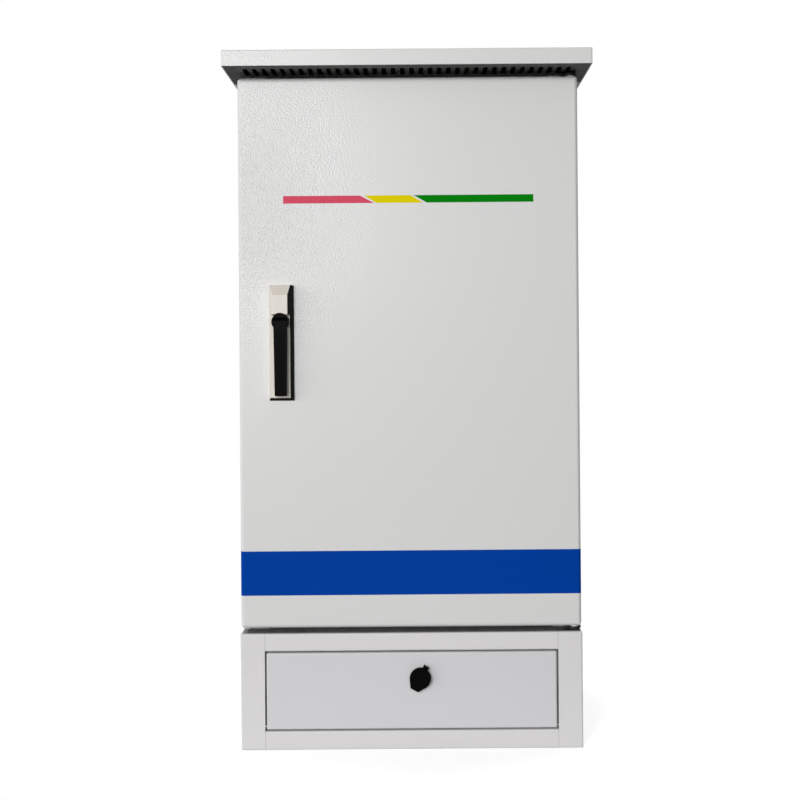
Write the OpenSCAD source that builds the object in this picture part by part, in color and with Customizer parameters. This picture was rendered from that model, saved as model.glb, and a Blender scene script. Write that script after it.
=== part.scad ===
// Outdoor control cabinet in folded sheet steel: a plinth with a drop-down flap, a body with one
// overlay door on pivot pins, a vented roof, and the equipment inside.
// Millimetres. X runs across the front, Y from front to back, Z up.
// The origin is the middle of the plinth's footprint, on the ground.

/* [Body] */
// Width of the body and of the door
body_w = 500; // [460:5:640]
// Height of the body between the plinth and the roof
body_h = 820; // [800:5:1000]
// Depth of the body behind the door
body_d = 363; // [340:1:440]
// Thickness of the body, door and roof sheet
sheet_t = 1.5; // [1.2:0.1:2]
// Middle radius of the bends in the folded sheet
bend_r = 1.5; // [1.2:0.1:2.5]
// Width of the folded jamb round the door opening
jamb_w = 40; // [34:1:44]
// How far the rain lip stands forward of the jamb
lip_out = 17; // [12:0.5:18]
// Width of the folded rear edge of the side panels
rear_fold = 20; // [12:1:30]

/* [Door] */
// Depth of the folded door pan
door_fold = 22; // [20:0.5:26]
// Gap between the back of the door and the jamb
door_rear_gap = 5; // [4:0.5:7]
// Gap between the door and the roof
door_top_gap = 6; // [5.5:0.5:10]
// Gap between the door and the plinth
door_bottom_gap = 6; // [5.5:0.5:10]
// Radius of the door's folded front edges
door_edge_r = 5; // [2.5:0.5:6]
// Radius of the door's corners seen from the front
door_corner_r = 7; // [3:0.5:9]
// Width of the return lip behind the door's edges
door_return = 12; // [8:1:14]
// Hinge axis in from the door's right edge
hinge_inset = 10; // [9:0.5:11]
// Hinge axis behind the door's front face
hinge_setback = 10; // [9:0.5:11]
// Radius of the hinge pins
hinge_pin_r = 3.5; // [3:0.5:4]
// Outer radius of the hinge bushes
hinge_bush_r = 5; // [4.5:0.5:5.5]
// Thickness of the hinge brackets
hinge_plate_t = 3; // [2:0.5:4]
// Width of the foam gasket
gasket_w = 12; // [8:1:14]
// Door stiffeners in from the sides of the door opening
stiffener_in = 70; // [60:1:90]
// Width of the hat of a stiffener
stiffener_w = 24; // [16:1:30]
// Depth of a stiffener
stiffener_d = 12; // [8:1:16]
// Gap between the document pocket and the stiffeners
pocket_gap = 7; // [4:1:30]
// Height of the document pocket
pocket_h = 170; // [120:5:220]
// Depth of the document pocket
pocket_d = 30; // [20:1:34]
// Height of the pocket above the door's lower edge
pocket_up = 70; // [60:5:160]

/* [Roof] */
// Overhang of the roof past the door's face
eave_front = 55; // [45:1:70]
// Overhang of the roof at the sides and the back
eave_side = 15; // [8:1:25]
// Height of the roof's lip
roof_lip = 23; // [18:1:40]
// How far the eaves reach in over the body
roof_seat = 45; // [38:1:60]
// Radius of the roof's folded edges
roof_edge_r = 2; // [1.6:0.1:4]
// Width of a vent slot
slot_w = 7; // [4:0.5:9]
// Length of a vent slot
slot_len = 45; // [30:1:50]
// Spacing of the vent slots
slot_pitch = 13.4; // [11:0.1:18]
// Distance from the roof's front to the vent slots
slot_inset = 22; // [12:1:28]
// Plain width at each end of the row of slots
slot_margin = 30; // [20:1:60]

/* [Plinth] */
// Height of the plinth
plinth_h = 170; // [160:5:240]
// Thickness of the plinth sheet
plinth_t = 2; // [1.5:0.1:2.5]
// How far the plinth stands forward of the door
plinth_step = 10; // [4:1:20]
// Width of the plinth's front posts
post_w = 35.5; // [34:0.5:50]
// Height of the rail over the flap
top_rail_h = 26; // [22:1:40]
// Height of the rail under the flap
bottom_rail_h = 27.5; // [24:0.5:40]
// Depth of the rails' flanges
rail_d = 60; // [50:1:80]
// Radius of the plinth's folded edges
plinth_edge_r = 2.5; // [2.1:0.1:4]
// Anchor holes in from the plinth's sides
anchor_inset = 20; // [18:0.5:24]
// Spacing of the anchor holes from front to back
anchor_span = 300; // [240:5:330]
// Radius of the anchor holes
anchor_r = 7; // [5:0.5:8]
// Radius of the screws that join body, plinth and roof
frame_bolt_r = 4; // [3:0.5:5]

/* [Flap] */
// Gap round the flap
flap_gap = 2.3; // [1.5:0.1:3]
// Depth of the folded flap
flap_fold = 18; // [14:0.5:22]
// Radius of the flap's folded edges
flap_edge_r = 2.5; // [2:0.1:3]
// Width of the return lip behind the flap's edges
flap_return = 12; // [8:1:14]
// Flap hinge axis behind the flap's face
flap_axis_in = 4.5; // [4.2:0.1:5]
// Flap hinge axis above the flap's lower edge
flap_axis_up = 4; // [3.8:0.1:4.5]
// Radius of the flap's hinge pins
flap_pin_r = 2; // [1.5:0.1:2]
// Cam lock to the right of the middle
lock_x = 12.5; // [-60:0.5:60]
// Cam lock below the flap's upper edge
lock_drop = 36.7; // [32:0.1:44]
// Radius of the lock's threaded barrel
barrel_r = 11; // [9:0.5:12]
// Radius of the lock's bezel
bezel_r = 14.5; // [13:0.5:15]
// Radius of the turning lock cylinder
cylinder_r = 7; // [6:0.5:8]
// Overhang of the dust cap past the bezel
cap_over = 1; // [0.5:0.1:2]
// Thickness of the dust cap
cap_t = 3.4; // [3:0.2:5]
// Reach of the lift tab past the cap's rim
cap_tab = 3.5; // [2:0.5:6]
// Width of the lift tab's end
cap_tab_w = 12.7; // [8:0.1:16]
// Lean of the cap's ear to the right of upright
cap_lean = 28; // [0:1:45]
// Reach of the cam tongue
cam_reach = 38; // [34:0.5:42]

/* [Handle] */
// Spindle in from the left side of the door opening
handle_in = 23; // [18:0.5:26]
// Spindle above the door's lower edge
handle_up = 449.5; // [300:0.5:560]
// Housing above the spindle
housing_above = 54; // [48:0.5:70]
// Housing below the spindle
housing_below = 116; // [114:0.5:140]
// Width of the housing on the door
housing_w = 37; // [30:0.5:42]
// Width of the housing's face
housing_face_w = 23; // [20:0.5:28]
// Height of the housing's upper block
housing_out = 25; // [24:0.5:30]
// Height of the tray under the lever
tray_out = 11; // [9:0.5:12]
// Length of the housing's sloping top end
housing_slope = 15; // [10:0.5:20]
// Radius of the turning head
head_r = 12.5; // [12:0.1:13]
// Radius of the spindle
spindle_r = 6; // [5:0.5:7]
// Width of the lever at the head
lever_w = 19.4; // [16:0.2:19.6]
// Width of the lever at its tip
lever_tip_w = 16.7; // [12:0.1:19]
// Length of the lever from the spindle
lever_len = 108; // [90:1:110]
// Radius of the lever's pin
lever_pin_r = 1.5; // [1:0.1:1.8]
// Reach of the latch tongue
tongue_reach = 36; // [30:0.5:46]
// Thickness of the latch tongue
tongue_t = 4; // [3:0.5:5]

/* [Equipment] */
// Gap between the mounting plate and the side panels
plate_side_gap = 33.5; // [28:0.5:45]
// Gap between the mounting plate and the body's top and floor
plate_end_gap = 60; // [40:1:70]
// Mounting plate in front of the back panel
plate_gap = 36; // [30:1:60]
// Thickness of the mounting plate and the shelf
plate_t = 2; // [1.5:0.1:3]
// Plain width of the mounting plate beside the device rails
rail_margin = 25; // [15:1:35]
// Upper device rail below the body's top
upper_rail_down = 160; // [150:5:180]
// Spacing of the two device rails
rail_spacing = 160; // [150:5:180]
// Width of one device module
module_w = 17.8; // [17:0.1:18]
// Number of modules in the breaker and in the arrester
module_count = 4; // [3:1:4]
// Number of terminal blocks
terminal_count = 14; // [6:1:16]
// Equipment shelf below the lower device rail
shelf_down = 210; // [190:5:240]
// Front of the equipment shelf behind the jamb
shelf_front_gap = 45; // [40:1:60]
// Gap between the equipment shelf and the mounting plate
shelf_back_gap = 50.5; // [40:0.5:70]
// Width of the controller on the shelf
controller_w = 320; // [240:5:360]
// Depth of the controller
controller_d = 190; // [150:5:200]
// Height of the controller
controller_h = 78; // [50:1:90]
// Height of the earth bar above the body's floor
earth_up = 105; // [80:5:160]
// Length of the earth bar
earth_len = 260; // [180:5:300]
// Number of screws on the earth bar
earth_screws = 9; // [5:1:11]
// Width of the roof fan
fan_w = 120; // [92:1:140]
// Thickness of the roof fan
fan_t = 25; // [20:1:38]
// Radius of the cable entries
cable_r = 20; // [14:0.5:24]
// Spacing of the cable entries
cable_pitch = 70; // [60:1:90]

/* [Hidden] */
$fn = 48;
// Parts of a full turn per bend or rounded corner
arc_steps = 5;
// Overshoot of a cut past a face
cut = 1;
// Running clearance of a pin in its bore
run_clear = 0.05;
// Clearance between pieces that move past each other
move_clear = 0.5;
half_w = body_w / 2;
plinth_d = plinth_step + door_fold + door_rear_gap + body_d;
half_d = plinth_d / 2;
body_back_y = half_d;
body_front_y = half_d - body_d;
door_back_y = body_front_y - door_rear_gap;
door_face_y = door_back_y - door_fold;
door_inner_y = door_face_y + sheet_t;
lip_tip_y = body_front_y - lip_out;
body_z0 = plinth_h;
body_z1 = plinth_h + body_h;
inner_x = half_w - sheet_t;
inner_z0 = body_z0 + sheet_t;
inner_z1 = body_z1 - sheet_t;
inner_back_y = body_back_y - sheet_t;
open_x = half_w - jamb_w;
open_z0 = body_z0 + jamb_w;
open_z1 = body_z1 - jamb_w;
door_z0 = body_z0 + door_bottom_gap;
door_z1 = body_z1 - door_top_gap;
door_h = door_z1 - door_z0;
hinge_x = half_w - hinge_inset;
hinge_y = door_face_y + hinge_setback;
roof_half_w = half_w + eave_side;
roof_front_y = door_face_y - eave_front;
roof_back_y = body_back_y + eave_side;
roof_d = roof_back_y - roof_front_y;
roof_z1 = body_z1 + roof_lip;
eave_seat_y = body_front_y + roof_seat;
flap_open_x = half_w - post_w;
flap_half_w = flap_open_x - flap_gap;
flap_z0 = bottom_rail_h + flap_gap;
flap_z1 = plinth_h - top_rail_h - flap_gap;
flap_h = flap_z1 - flap_z0;
flap_face_y = -half_d;
flap_axis_y = flap_face_y + flap_axis_in;
flap_axis_z = flap_z0 + flap_axis_up;
stop_y = flap_face_y + flap_fold + move_clear;
lock_z = flap_z1 - lock_drop;
handle_x = -open_x + handle_in;
handle_z = door_z0 + handle_up;
stiffener_x = open_x - stiffener_in;
plate_w = 2 * (inner_x - plate_side_gap);
plate_h = body_h - 2 * plate_end_gap;
plate_y = inner_back_y - plate_gap;
plate_z0 = body_z0 + plate_end_gap;
rail_len = plate_w - 2 * rail_margin;
upper_rail_z = body_z1 - upper_rail_down;
lower_rail_z = upper_rail_z - rail_spacing;
shelf_z = lower_rail_z - shelf_down;
shelf_front_y = body_front_y + shelf_front_gap;
shelf_d = plate_y - shelf_back_gap - shelf_front_y;
earth_z = body_z0 + earth_up;
paint = "gainsboro";
inner_paint = "silver";
steel = "slategray";

// A box between two corners
module slab(low, high) {
    translate(low) cube(high - low);
}

// Unit vector, left-hand normal, signed turn between two directions, and a vector turned by an angle
function unit(v) = v / norm(v);
function left_of(v) = [-v[1], v[0]];
function turn(a, b) = atan2(a[0] * b[1] - a[1] * b[0], a[0] * b[0] + a[1] * b[1]);
function spin(v, a) = [v[0] * cos(a) - v[1] * sin(a), v[0] * sin(a) + v[1] * cos(a)];

// Points of a bend of middle radius r at corner b, on the line that runs e to the left of the path
function bend(a, b, c, r, e) =
    let (d = unit(b - a), f = turn(d, unit(c - b)), s = sign(f), back = r * tan(abs(f) / 2))
    let (centre = b - d * back + left_of(d) * r * s)
    [for (k = [0 : arc_steps]) centre + spin(-left_of(d) * s * (r - s * e), f * k / arc_steps)];

// One face of a sheet that follows a path, with a bend at each inner point
function sheet_face(path, r, e) =
    let (last = len(path) - 1)
    [for (i = [0 : last]) each
        i == 0 ? [path[0] + left_of(unit(path[1] - path[0])) * e] :
        i == last ? [path[last] + left_of(unit(path[last] - path[last - 1])) * e] :
        bend(path[i - 1], path[i], path[i + 1], r, e)];

function reversed(list) = [for (i = [len(list) - 1 : -1 : 0]) list[i]];

// Section of a sheet of thickness t folded along its middle line
module folded_section(path, t, r) {
    polygon(concat(sheet_face(path, r, t / 2), reversed(sheet_face(path, r, -t / 2))));
}

// Outline with every corner rounded to radius r
module soft_outline(points, r) {
    count = len(points);
    polygon([for (i = [0 : count - 1]) each
        bend(points[(i + count - 1) % count], points[i], points[(i + 1) % count], r, 0)]);
}

function rectangle(w, h) = [[-w / 2, -h / 2], [w / 2, -h / 2], [w / 2, h / 2], [-w / 2, h / 2]];

// Straight run of a section: along X with the section in YZ, along Z with it in XY
module run_x(x0, x1) {
    translate([x0, 0, 0]) rotate([90, 0, 90]) linear_extrude(x1 - x0) children();
}

module run_z(z0, z1) {
    translate([0, 0, z0]) linear_extrude(z1 - z0) children();
}

// Block with its face up at z = 0, rounded along the face's four edges and at its four corners
module soft_block(w, h, d, edge_r, corner_r) {
    intersection() {
        translate([0, 0, -d]) linear_extrude(d) soft_outline(rectangle(w, h), corner_r);
        rotate([90, 0, 0]) linear_extrude(h + 2, center = true) edge_section(w, d, edge_r);
        rotate([90, 0, 90]) linear_extrude(w + 2, center = true) edge_section(h, d, edge_r);
    }
}

module edge_section(w, d, r) {
    side = w / 2;
    polygon(concat(
        [[-side, -d - cut], [side, -d - cut]],
        bend([side, -d], [side, 0], [-side, 0], r, 0),
        bend([side, 0], [-side, 0], [-side, -d], r, 0)));
}

// Folded pan, open below: a sheet with four edges turned down, and a return lip if one is given
module pan(w, h, d, t, edge_r, corner_r, return_w) {
    least_r = 0.4;
    difference() {
        soft_block(w, h, d, edge_r, corner_r);
        translate([0, 0, -t])
            soft_block(w - 2 * t, h - 2 * t, d - t - (return_w > 0 ? t : -cut),
                max(edge_r - t, least_r), max(corner_r - t, least_r));
        if (return_w > 0)
            translate([0, 0, -d - cut]) linear_extrude(d - t)
                square([w - 2 * (t + return_w), h - 2 * (t + return_w)], center = true);
    }
}

// A bolt through a joint, head up at z = 0: head, shank, and a nut whose seat is at z = -grip
module bolt(r, grip) {
    head_h = 1.3 * r;
    cylinder(r = 1.8 * r, h = head_h, $fn = 6);
    translate([0, 0, -grip - head_h]) cylinder(r = r, h = grip + head_h + cut);
    translate([0, 0, -grip - head_h]) cylinder(r = 1.8 * r, h = head_h, $fn = 6);
}

// Plinth: two folded sides whose edges make the front posts, two rails between them, and a back
bolt_y0 = eave_seat_y - roof_seat / 2;
bolt_y1 = body_back_y - roof_seat / 2;
bolt_x = half_w - post_w / 2;

module bolt_places() {
    for (sx = [-1, 1]) for (y = [bolt_y0, bolt_y1]) translate([sx * bolt_x, y, 0]) children();
}

module plinth_left_side() {
    color(paint) difference() {
        translate([-half_w, 0, plinth_h / 2]) rotate([90, 0, -90])
            pan(plinth_d, plinth_h, post_w, plinth_t, plinth_edge_r, plinth_edge_r, 0);
        for (sy = [-1, 1]) translate([-half_w + anchor_inset, sy * anchor_span / 2, -cut])
            cylinder(r = anchor_r, h = plinth_t + 2 * cut);
        bolt_places() translate([0, 0, plinth_h - plinth_t - cut])
            cylinder(r = frame_bolt_r, h = plinth_t + 2 * cut);
    }
}

module plinth_right_side() {
    mirror([1, 0, 0]) plinth_left_side();
}

plinth_mid_y = -half_d + plinth_t / 2;
plinth_bend = plinth_edge_r - plinth_t / 2;

module plinth_top_rail() {
    rail_z0 = plinth_h - top_rail_h;
    stop_down = 14;
    path = [
        [stop_y + plinth_t / 2, rail_z0 - stop_down], [stop_y + plinth_t / 2, rail_z0 + plinth_t / 2],
        [plinth_mid_y, rail_z0 + plinth_t / 2], [plinth_mid_y, plinth_h - plinth_t / 2],
        [-half_d + rail_d, plinth_h - plinth_t / 2]
    ];
    color(paint) run_x(-flap_open_x, flap_open_x) folded_section(path, plinth_t, plinth_bend);
}

module plinth_bottom_rail() {
    sill_d = 14;
    path = [
        [-half_d + sill_d, bottom_rail_h - plinth_t / 2], [plinth_mid_y, bottom_rail_h - plinth_t / 2],
        [plinth_mid_y, plinth_t / 2], [-half_d + rail_d, plinth_t / 2]
    ];
    color(paint) run_x(-flap_open_x, flap_open_x) folded_section(path, plinth_t, plinth_bend);
}

module plinth_back_panel() {
    path = [
        [half_d - rail_d, plinth_t / 2], [-plinth_mid_y, plinth_t / 2],
        [-plinth_mid_y, plinth_h - plinth_t / 2], [half_d - rail_d, plinth_h - plinth_t / 2]
    ];
    color(paint) run_x(-flap_open_x, flap_open_x) folded_section(path, plinth_t, plinth_bend);
}

module plinth_bolts() {
    color(steel) bolt_places() translate([0, 0, inner_z0]) bolt(frame_bolt_r, sheet_t + plinth_t);
}

// Lugs welded behind the posts carry the flap's pins
lug_x = flap_open_x + move_clear;
lug_t = 3;

module flap_hinge_lugs() {
    lug_back = flap_axis_y + 2.5 * flap_pin_r;
    lug_half = 3 * flap_pin_r;
    color(paint) for (sx = [-1, 1]) difference() {
        slab([sx * (lug_x + lug_t / 2) - lug_t / 2, -half_d + plinth_t, flap_axis_z - lug_half],
            [sx * (lug_x + lug_t / 2) + lug_t / 2, lug_back, flap_axis_z + lug_half]);
        translate([sx * lug_x - lug_t * 2, flap_axis_y, flap_axis_z]) rotate([0, 90, 0])
            cylinder(r = flap_pin_r + run_clear, h = 4 * lug_t);
    }
}

// Body: folded sides with jamb and rain lip, a flat back, and a top and a floor with their own jambs
module left_side_panel() {
    mid = sheet_t / 2;
    path = [
        [-open_x - mid, lip_tip_y], [-open_x - mid, body_front_y + mid], [-half_w + mid, body_front_y + mid],
        [-half_w + mid, inner_back_y - mid], [-half_w + rear_fold, inner_back_y - mid]
    ];
    color(paint) difference() {
        run_z(body_z0, body_z1) folded_section(path, sheet_t, bend_r);
        for (z = [[body_z0 - cut, open_z0 - sheet_t], [open_z1 + sheet_t, body_z1 + cut]])
            slab([-open_x - jamb_w / 2, lip_tip_y - cut, z[0]], [-open_x + cut, body_front_y, z[1]]);
        for (z = [[body_z0 - cut, inner_z0], [inner_z1, body_z1 + cut]])
            slab([-inner_x, body_front_y + sheet_t, z[0]], [0, body_back_y + cut, z[1]]);
    }
}

module right_side_panel() {
    mirror([1, 0, 0]) left_side_panel();
}

module back_panel() {
    color(paint) slab([-half_w, inner_back_y, body_z0], [half_w, body_back_y, body_z1]);
}

// Section of a top or floor sheet: rain lip, jamb and the sheet itself, with z measured outwards
function cover_path(lip_z, face_z, dir) = [
    [lip_tip_y, lip_z + dir * sheet_t / 2], [body_front_y + sheet_t / 2, lip_z + dir * sheet_t / 2],
    [body_front_y + sheet_t / 2, face_z - dir * sheet_t / 2], [inner_back_y, face_z - dir * sheet_t / 2]
];

module cover_sheet(lip_z, face_z, dir) {
    difference() {
        run_x(-inner_x, inner_x) folded_section(cover_path(lip_z, face_z, dir), sheet_t, bend_r);
        for (sx = [-1, 1])
            slab([sx * (open_x + jamb_w) - jamb_w, lip_tip_y - cut, min(lip_z, face_z) - cut],
                [sx * (open_x + jamb_w) + jamb_w, body_front_y + sheet_t, max(lip_z, face_z) + cut]);
    }
}

fan_y = (eave_seat_y + body_back_y - roof_seat) / 2;
fan_bore_r = fan_w / 2 - 3;
fan_screw = fan_w / 2 - 7.5;
fan_screw_r = 2.2;

module fan_corners() {
    for (sx = [-1, 1]) for (sy = [-1, 1]) translate([sx * fan_screw, sy * fan_screw, 0]) children();
}

module top_panel() {
    color(paint) difference() {
        cover_sheet(open_z1, body_z1, 1);
        translate([0, fan_y, inner_z1 - cut]) {
            cylinder(r = fan_bore_r, h = sheet_t + 2 * cut);
            fan_corners() cylinder(r = fan_screw_r, h = sheet_t + 2 * cut);
        }
        bolt_places() translate([0, 0, inner_z1 - cut]) cylinder(r = frame_bolt_r, h = sheet_t + 2 * cut);
    }
}

grommet_wall = 3;
cable_y = 60;

module cable_places() {
    for (k = [-1 : 1]) translate([k * cable_pitch, cable_y, 0]) children();
}

module floor_panel() {
    color(paint) difference() {
        cover_sheet(open_z0, body_z0, -1);
        cable_places() translate([0, 0, body_z0 - cut])
            cylinder(r = cable_r + grommet_wall, h = sheet_t + 2 * cut);
        bolt_places() translate([0, 0, body_z0 - cut]) cylinder(r = frame_bolt_r, h = sheet_t + 2 * cut);
    }
}

module cable_grommets() {
    flange = 4;
    thick = 3;
    outer = cable_r + grommet_wall;
    color("black") cable_places() translate([0, 0, body_z0]) rotate_extrude()
        polygon([
            [cable_r, -thick], [outer + flange, -thick], [outer + flange, 0], [outer, 0], [outer, sheet_t],
            [outer + flange, sheet_t], [outer + flange, sheet_t + thick], [cable_r, sheet_t + thick]
        ]);
}

// Hinge: a plate welded to the jamb in the gap above and below the door, each with its pin
hinge_plate_w = hinge_inset + 16;
bush_clear = 0.2;
bush_flange_t = (min(door_top_gap, door_bottom_gap) - hinge_plate_t) / 2 - bush_clear;

module hinge_bracket(z0) {
    tail_y = body_front_y - hinge_y;
    color("dimgray") translate([hinge_x, hinge_y, z0]) linear_extrude(hinge_plate_t) difference() {
        union() {
            circle(r = hinge_setback - 1);
            translate([-hinge_plate_w / 2, 0]) square([hinge_plate_w / 2 + hinge_inset, tail_y]);
        }
        circle(r = hinge_pin_r);
    }
}

upper_plate_z = door_z1 + (door_top_gap - hinge_plate_t) / 2;
lower_plate_z = door_z0 - (door_bottom_gap + hinge_plate_t) / 2;
pin_reach = 16;

module upper_hinge_bracket() {
    hinge_bracket(upper_plate_z);
}

module lower_hinge_bracket() {
    hinge_bracket(lower_plate_z);
}

module hinge_pins() {
    color(steel) translate([hinge_x, hinge_y, door_z1 - pin_reach])
        cylinder(r = hinge_pin_r, h = upper_plate_z + hinge_plate_t - door_z1 + pin_reach);
    color(steel) translate([hinge_x, hinge_y, lower_plate_z])
        cylinder(r = hinge_pin_r, h = door_z0 - lower_plate_z + pin_reach);
}

// Roof: a folded cap whose side and rear edges turn in under it, and a slotted strip under the front eave
module roof_cap() {
    roof_mid_y = (roof_front_y + roof_back_y) / 2;
    color(paint) translate([0, roof_mid_y, roof_z1])
        pan(2 * roof_half_w, roof_d, roof_lip, sheet_t, roof_edge_r, roof_edge_r, 0);
    color(paint) difference() {
        slab([-roof_half_w + sheet_t, eave_seat_y, body_z1],
            [roof_half_w - sheet_t, roof_back_y - sheet_t, body_z1 + sheet_t]);
        slab([-half_w + roof_seat, eave_seat_y - cut, body_z1 - cut],
            [half_w - roof_seat, body_back_y - roof_seat, body_z1 + 2 * cut]);
        bolt_places() translate([0, 0, body_z1 - cut]) cylinder(r = frame_bolt_r, h = sheet_t + 2 * cut);
    }
}

slot_count = floor((2 * roof_half_w - 2 * slot_margin) / slot_pitch) + 1;

module vent_slot() {
    straight = slot_len - slot_w;
    translate([-slot_w / 2, -straight / 2]) square([slot_w, straight]);
    for (sy = [-1, 1]) translate([0, sy * straight / 2]) circle(r = slot_w / 2);
}

module front_eave() {
    row_y = roof_front_y + slot_inset + slot_len / 2;
    strip_d = eave_seat_y - roof_front_y - sheet_t;
    strip_mid_y = eave_seat_y - strip_d / 2;
    color(paint) translate([0, 0, body_z1]) difference() {
        linear_extrude(sheet_t) difference() {
            translate([-roof_half_w + sheet_t, strip_mid_y - strip_d / 2])
                square([2 * (roof_half_w - sheet_t), strip_d]);
            for (k = [0 : slot_count - 1])
                translate([(k - (slot_count - 1) / 2) * slot_pitch, row_y]) vent_slot();
        }
        bolt_places() translate([0, 0, -cut]) cylinder(r = frame_bolt_r, h = sheet_t + 2 * cut);
    }
}

module roof_bolts() {
    color(steel) bolt_places() translate([0, 0, body_z1 + sheet_t]) bolt(frame_bolt_r, 2 * sheet_t);
}

// Mounting plate on four studs, with two device rails across it
stud_inset = 30;

module stud_places() {
    for (sx = [-1, 1]) for (z = [plate_z0 + stud_inset, plate_z0 + plate_h - stud_inset])
        translate([sx * (plate_w / 2 - stud_inset), 0, z]) children();
}

module mounting_plate() {
    edge_fold = 12;
    color("lightgray") difference() {
        translate([0, plate_y, plate_z0 + plate_h / 2]) rotate([90, 0, 0])
            pan(plate_w, plate_h, edge_fold, plate_t, plate_t + 1, plate_t + 1, 0);
        stud_places() translate([0, plate_y - cut, 0]) rotate([-90, 0, 0])
            cylinder(r = frame_bolt_r, h = plate_t + 2 * cut);
    }
}

module plate_studs() {
    spacer_r = 2 * frame_bolt_r;
    nut_h = 1.6 * frame_bolt_r;
    color(steel) stud_places() rotate([-90, 0, 0]) {
        translate([0, 0, plate_y - nut_h - frame_bolt_r])
            cylinder(r = frame_bolt_r, h = inner_back_y - plate_y + nut_h + frame_bolt_r);
        translate([0, 0, plate_y - nut_h]) cylinder(r = 1.8 * frame_bolt_r, h = nut_h, $fn = 6);
        translate([0, 0, plate_y + plate_t])
            cylinder(r = spacer_r, h = inner_back_y - plate_y - plate_t);
    }
}

// Top-hat device rail: standard height and depth, one-millimetre sheet
hat_h = 35;
hat_d = 7.5;
hat_t = 1;
hat_web_h = 25;

module device_rail(z) {
    front = plate_y - hat_d + hat_t / 2;
    rear = plate_y - hat_t / 2;
    path = [
        [front, z - hat_h / 2], [front, z - hat_web_h / 2], [rear, z - hat_web_h / 2],
        [rear, z + hat_web_h / 2], [front, z + hat_web_h / 2], [front, z + hat_h / 2]
    ];
    color("silver") run_x(-rail_len / 2, rail_len / 2) folded_section(path, hat_t, hat_t);
}

module upper_device_rail() {
    device_rail(upper_rail_z);
}

module lower_device_rail() {
    device_rail(lower_rail_z);
}

// Rail devices: a section in depth and height, run across their width, with a hook over each rail edge
device_y = plate_y - hat_d;
device_h = 85;
device_d = 44;
nose_h = 45;
nose_d = 62;
hook = 2.5;

function device_outline(h, d, mid_h, mid_d) = [
    [0, -h / 2], [-d, -h / 2], [-d, -mid_h / 2], [-mid_d, -mid_h / 2],
    [-mid_d, mid_h / 2], [-d, mid_h / 2], [-d, h / 2], [0, h / 2]
];

device_shape = device_outline(device_h, device_d, nose_h, nose_d);
device_corner_r = 1;

module rail_device(x0, w, z, outline, corner_r) {
    translate([0, device_y, z]) {
        run_x(x0, x0 + w) soft_outline(outline, corner_r);
        for (sz = [-1, 1]) run_x(x0, x0 + w)
            translate([-hook, sz * (hat_h / 2 + hook) - hook]) square([2 * hook, 2 * hook]);
    }
}

module terminal_screws(x0, w, count, z, h, d, mid_h) {
    screw_r = 3;
    deep = 4;
    for (k = [0 : count - 1]) for (sz = [-1, 1])
        translate([x0 + w * (k + 0.5) / count, device_y - d - cut, z + sz * (h + mid_h) / 4])
            rotate([-90, 0, 0]) cylinder(r = screw_r, h = deep + cut);
}

device_gap = 4;
rail_end = 20;
group_w = module_count * module_w;
breaker_x = -rail_len / 2 + rail_end;
arrester_x = breaker_x + group_w + device_gap;
socket_x = arrester_x + group_w + device_gap;
socket_w = 54;
toggle_axis_y = device_y - nose_d + 4;
toggle_barrel_r = 7;
toggle_w = group_w - 16;

module main_breaker() {
    color("whitesmoke") difference() {
        rail_device(breaker_x, group_w, upper_rail_z, device_shape, device_corner_r);
        terminal_screws(breaker_x, group_w, module_count, upper_rail_z, device_h, device_d, nose_h);
        translate([breaker_x + (group_w - toggle_w) / 2 - move_clear, toggle_axis_y, upper_rail_z])
            rotate([0, 90, 0]) cylinder(r = toggle_barrel_r + move_clear, h = toggle_w + 2 * move_clear);
    }
}

module breaker_toggle() {
    tab_h = 12;
    tab_t = 5;
    tab_lean = 30;
    color("black") translate([breaker_x + (group_w - toggle_w) / 2, toggle_axis_y, upper_rail_z]) {
        rotate([0, 90, 0]) cylinder(r = toggle_barrel_r, h = toggle_w);
        rotate([-tab_lean, 0, 0]) run_x(0, toggle_w) translate([-toggle_barrel_r - tab_h / 2, 0])
            soft_outline(rectangle(tab_h + toggle_barrel_r, tab_t), 1.5);
    }
}

module surge_arrester() {
    groove = 0.8;
    window = 4;
    color("whitesmoke") difference() {
        rail_device(arrester_x, group_w, upper_rail_z, device_shape, device_corner_r);
        terminal_screws(arrester_x, group_w, module_count, upper_rail_z, device_h, device_d, nose_h);
        for (k = [1 : module_count - 1])
            slab([arrester_x + k * module_w - groove / 2, device_y - nose_d - cut, upper_rail_z - nose_h],
                [arrester_x + k * module_w + groove / 2, device_y - device_d - cut, upper_rail_z + nose_h]);
        for (k = [0 : module_count - 1])
            translate([arrester_x + (k + 0.5) * module_w, device_y - nose_d, upper_rail_z + nose_h / 4])
                cube([2 * window, 1, window], center = true);
    }
}

module socket_outlet() {
    face_r = 19;
    well = 7;
    pin_slot = [2.4, 14, 7];
    mid_x = socket_x + socket_w / 2;
    color("whitesmoke") difference() {
        rail_device(socket_x, socket_w, upper_rail_z, device_shape, device_corner_r);
        translate([mid_x, device_y - nose_d - cut, upper_rail_z]) rotate([-90, 0, 0])
            cylinder(r = face_r, h = well + cut);
        for (k = [0 : 2]) translate([mid_x, device_y - nose_d + well, upper_rail_z])
            rotate([0, k * 120, 0]) translate([0, 0, face_r / 2]) cube(pin_slot, center = true);
    }
}

supply_x = -rail_len / 2 + rail_end;
supply_w = 56;
supply_h = 124;
supply_d = 96;
supply_nose_h = 84;
supply_nose_d = 108;
switch_x = supply_x + supply_w + 2 * device_gap;
switch_w = 46;
terminal_x = switch_x + switch_w + 3 * device_gap;
terminal_pitch = 8;

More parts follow.
